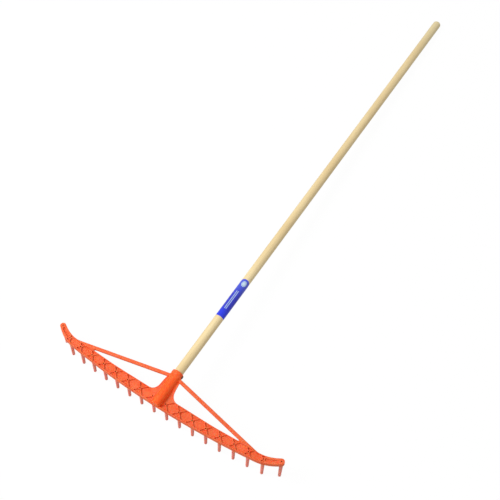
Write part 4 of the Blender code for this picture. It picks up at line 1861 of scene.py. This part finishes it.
@dataclass(frozen=True)
class Label(SubAssembly):
    """Film wrapped round the upper side of the handle, with an arched upper end."""

    node = Node.LABEL
    slot = Slot.FILM

    pole: Pole
    start: float = 189.5 * MM
    length: float = 131.5 * MM
    width: float = 50.0 * MM
    lift: float = 0.12 * MM
    thickness: float = 0.16 * MM
    centre_angle: float = math.radians(12.0)
    corner: float = 6.0 * MM
    edge_share: float = 0.985
    columns: int = 72
    rows: int = 40

    def _ends(self, across: float) -> Flat:
        """Lower and upper end of the film.

        Args:
            across: Distance from its middle line, round the handle.

        Returns:
            Both ends along the handle.
        """
        half = self.width / 2
        arch = half - math.sqrt(max(half ** 2 - across ** 2, 0.0))
        past = max(abs(across) - (half - self.corner), 0.0)
        cut = self.corner - math.sqrt(max(self.corner ** 2 - past ** 2, 0.0))
        return self.start + cut, self.start + self.length - arch

    def _grid(
        self, shape: bmesh.types.BMesh, uv: bmesh.types.BMLayerItem, radius: float
    ) -> list[list]:
        """One skin of the film.

        Args:
            shape: Shape that it is added to.
            uv: Layer that holds the place on the film, from 0 to 1 each way.
            radius: Its distance from the handle's axis.

        Returns:
            Columns of vertices.
        """
        columns = []
        flat: dict[bmesh.types.BMVert, Flat] = {}
        for i in range(self.columns + 1):
            turn = math.pi * i / self.columns
            across = -self.width / 2 * self.edge_share * math.cos(turn)
            low, high = self._ends(across)
            angle = self.centre_angle + across / self.pole.radius
            column = []
            for j in range(self.rows + 1):
                along = mix(low, high, 0.5 - 0.5 * math.cos(math.pi * j / self.rows))
                place = (radius * math.sin(angle), -radius * math.cos(angle), along)
                vertex = shape.verts.new(place)
                flat[vertex] = (across / self.width + 0.5, (along - self.start) / self.length)
                column.append(vertex)
            columns.append(column)
        for left, right in zip(columns, columns[1:]):
            for j in range(self.rows):
                face = shape.faces.new((left[j], right[j], right[j + 1], left[j + 1]))
                for corner in face.loops:
                    corner[uv].uv = flat[corner.vert]
        return columns

    @staticmethod
    def _border(grid: list[list]) -> list:
        """Vertices round one skin, in order.

        Args:
            grid: Columns of vertices.

        Returns:
            The loop round the skin.
        """
        first = [column[0] for column in grid] + grid[-1][1:]
        back = [column[-1] for column in reversed(grid[:-1])]
        return first + back + list(reversed(grid[0][1:-1]))

    def build(self) -> bpy.types.Object:
        """Make the label in the head's frame.

        Returns:
            One closed mesh with its own UV map.
        """
        shape = bmesh.new()
        uv = shape.loops.layers.uv.new("film")
        under = self.pole.radius + self.lift
        inner = self._border(self._grid(shape, uv, under))
        outer = self._border(self._grid(shape, uv, under + self.thickness))
        for i in range(len(inner)):
            shape.faces.new((inner[i - 1], inner[i], outer[i], outer[i - 1]))
        bmesh.ops.recalc_face_normals(shape, faces=shape.faces)
        label = as_object(shape, "film", self.pole.matrix())
        edged_shading(label)
        return label


# Studio

@dataclass(frozen=True)
class Studio:
    """White floor, soft light and the camera."""

    lens: float = 62.2518
    sensor: float = 36.0
    nearest: float = 0.05
    camera_place: Solid = (0.69438, -0.79390, 1.99703)
    camera_rows: tuple[Solid, Solid, Solid] = (
        (0.837123, 0.545384, 0.042206),
        (0.454374, -0.650317, -0.608795),
        (-0.304580, 0.528813, -0.792204),
    )
    sky: float = 0.66
    key_power: float = 112.0
    key_size: float = 1.5
    key_place: Solid = (-1.95, -1.3, 3.0)
    key_target: Solid = (0.0, 0.3, 0.0)
    floor_half: float = 6.0
    floor_low: Solid = (0.48, 0.48, 0.48)
    floor_high: Solid = (0.52, 0.52, 0.52)
    floor_roughness: float = 0.9
    floor_gloss: float = 0.1
    shadow_share: float = 0.06
    backdrop: float = 1.03

    @staticmethod
    def _placed(name: str, data: bpy.types.ID) -> bpy.types.Object:
        """Add an object for a camera or a lamp.

        Args:
            name: Name of the object.
            data: Its camera or lamp.

        Returns:
            The new object.
        """
        item = bpy.data.objects.new(name, data)
        bpy.context.collection.objects.link(item)
        return item

    def camera(self) -> None:
        """Add the camera in the head's frame, laid on the ground with it."""
        data = bpy.data.cameras.new("camera")
        data.sensor_width = self.sensor
        data.lens = self.lens
        data.clip_start = self.nearest
        item = self._placed("camera", data)
        turn = Matrix(self.camera_rows).transposed() @ Matrix.Diagonal((1.0, -1.0, -1.0))
        item.matrix_world = GROUND @ Matrix.Translation(self.camera_place) @ turn.to_4x4()
        bpy.context.scene.camera = item

    def key(self) -> None:
        """Add the soft lamp on the left."""
        data = bpy.data.lights.new("key", "AREA")
        data.size = self.key_size
        data.energy = self.key_power
        item = self._placed("key", data)
        item.location = GROUND @ Vector(self.key_place)
        aim = GROUND @ Vector(self.key_target) - item.location
        item.rotation_euler = aim.to_track_quat("-Z", "Y").to_euler()

    @staticmethod
    def _seen(tree: bpy.types.NodeTree) -> Signal:
        """Find where the camera, a mirror or a lens looks at the backdrop.

        Args:
            tree: Node tree of the floor or the sky.

        Returns:
            1 there, and 0 for the light that falls on things.
        """
        path = tree.nodes.new("ShaderNodeLightPath")
        names = ("Is Camera Ray", "Is Glossy Ray", "Is Transmission Ray")
        straight, mirrored, bent = (Signal(tree, path.outputs[name]) for name in names)
        return straight.larger(mirrored).larger(bent)

    def floor(self) -> None:
        """Add the white floor, which keeps a soft shadow."""
        half = self.floor_half
        shape = bmesh.new()
        corners = [(-half, -half), (half, -half), (half, half), (-half, half)]
        shape.faces.new([shape.verts.new((x, y, 0.0)) for x, y in corners])
        item = as_object(shape, "floor")
        finish = Finish("white_floor")
        speck = finish.noise(finish.coordinates(), scale=900.0)
        white = finish.colour(speck, self.floor_low, self.floor_high)
        finish.set(Base_Color=white, Roughness=self.floor_roughness)
        finish.set(Specular_IOR_Level=self.floor_gloss)
        bright = {"Color": (1.0, 1.0, 1.0), "Strength": self.backdrop}
        glow = finish.node("ShaderNodeEmission", {}, bright)
        share = self._seen(finish.tree) * (1.0 - self.shadow_share)
        layers = {0: share, 1: finish.surface.outputs[0], 2: glow.outputs[0]}
        blend = finish.node("ShaderNodeMixShader", {}, layers)
        finish.feed(finish.tree.nodes["Material Output"].inputs["Surface"], blend.outputs[0])
        item.data.materials.append(finish.material)

    def world(self) -> None:
        """Set an even white sky."""
        world = bpy.data.worlds.new("sky")
        world.use_nodes = True
        bpy.context.scene.world = world
        tree = world.node_tree
        strength = self._seen(tree) * (1.0 - self.sky) + self.sky
        backdrop = tree.nodes["Background"]
        backdrop.inputs["Color"].default_value = (1.0, 1.0, 1.0, 1.0)
        tree.links.new(strength.socket, backdrop.inputs["Strength"])

    def build(self) -> None:
        """Set up the whole studio."""
        bpy.context.scene.view_settings.view_transform = "Standard"
        self.camera()
        self.key()
        self.floor()
        self.world()


def main() -> None:
    """Build every piece in order and report it."""
    logging.basicConfig(level=logging.INFO, format="%(name)s: %(message)s")
    for item in list(bpy.data.objects):
        if item.type in {"CAMERA", "LIGHT"}:
            bpy.data.objects.remove(item, do_unlink=True)
    line = RailLine()
    pole = Pole()
    plate = RailPlate(line)
    tines = Tines(line)
    stays = Stays(line, pole)
    hub = Hub(line, pole, stays)
    handle = Handle(pole)
    label = Label(pole)
    screw = Screw(pole, hub.collar_radius)

    axis = GROUND @ pole.matrix()
    # Hub and rail plastic, with painted shade round the socket.
    red = MouldedPlastic("red_plastic_satin", socket=axis).material()
    # Tine plastic with painted sheen towards the tips.
    sheened_tine_plastic = MouldedPlastic("red_plastic_tines", head=GROUND).material()
    wood = PaleWood(axis).material()
    film = PrintedFilm(label.length, label.width).material()
    steel = DarkSteel().material()

    made = [
        plate.dress(plate.build(), red),
        tines.dress(tines.build(sheened_tine_plastic), sheened_tine_plastic),
        hub.dress(hub.build(screw.seat(), screw.matrix()), red),
        *(stays.dress(stays.build(side), red) for side in Side),
        handle.dress(handle.build(), wood),
        label.dress(label.build(), film),
        screw.dress(screw.build(), steel),
    ]
    for piece in made:
        piece.data.calc_loop_triangles()
        LOG.info("%s: %d triangles", piece.name, len(piece.data.loop_triangles))
    Studio().build()


if __name__ == "__main__":
    main()
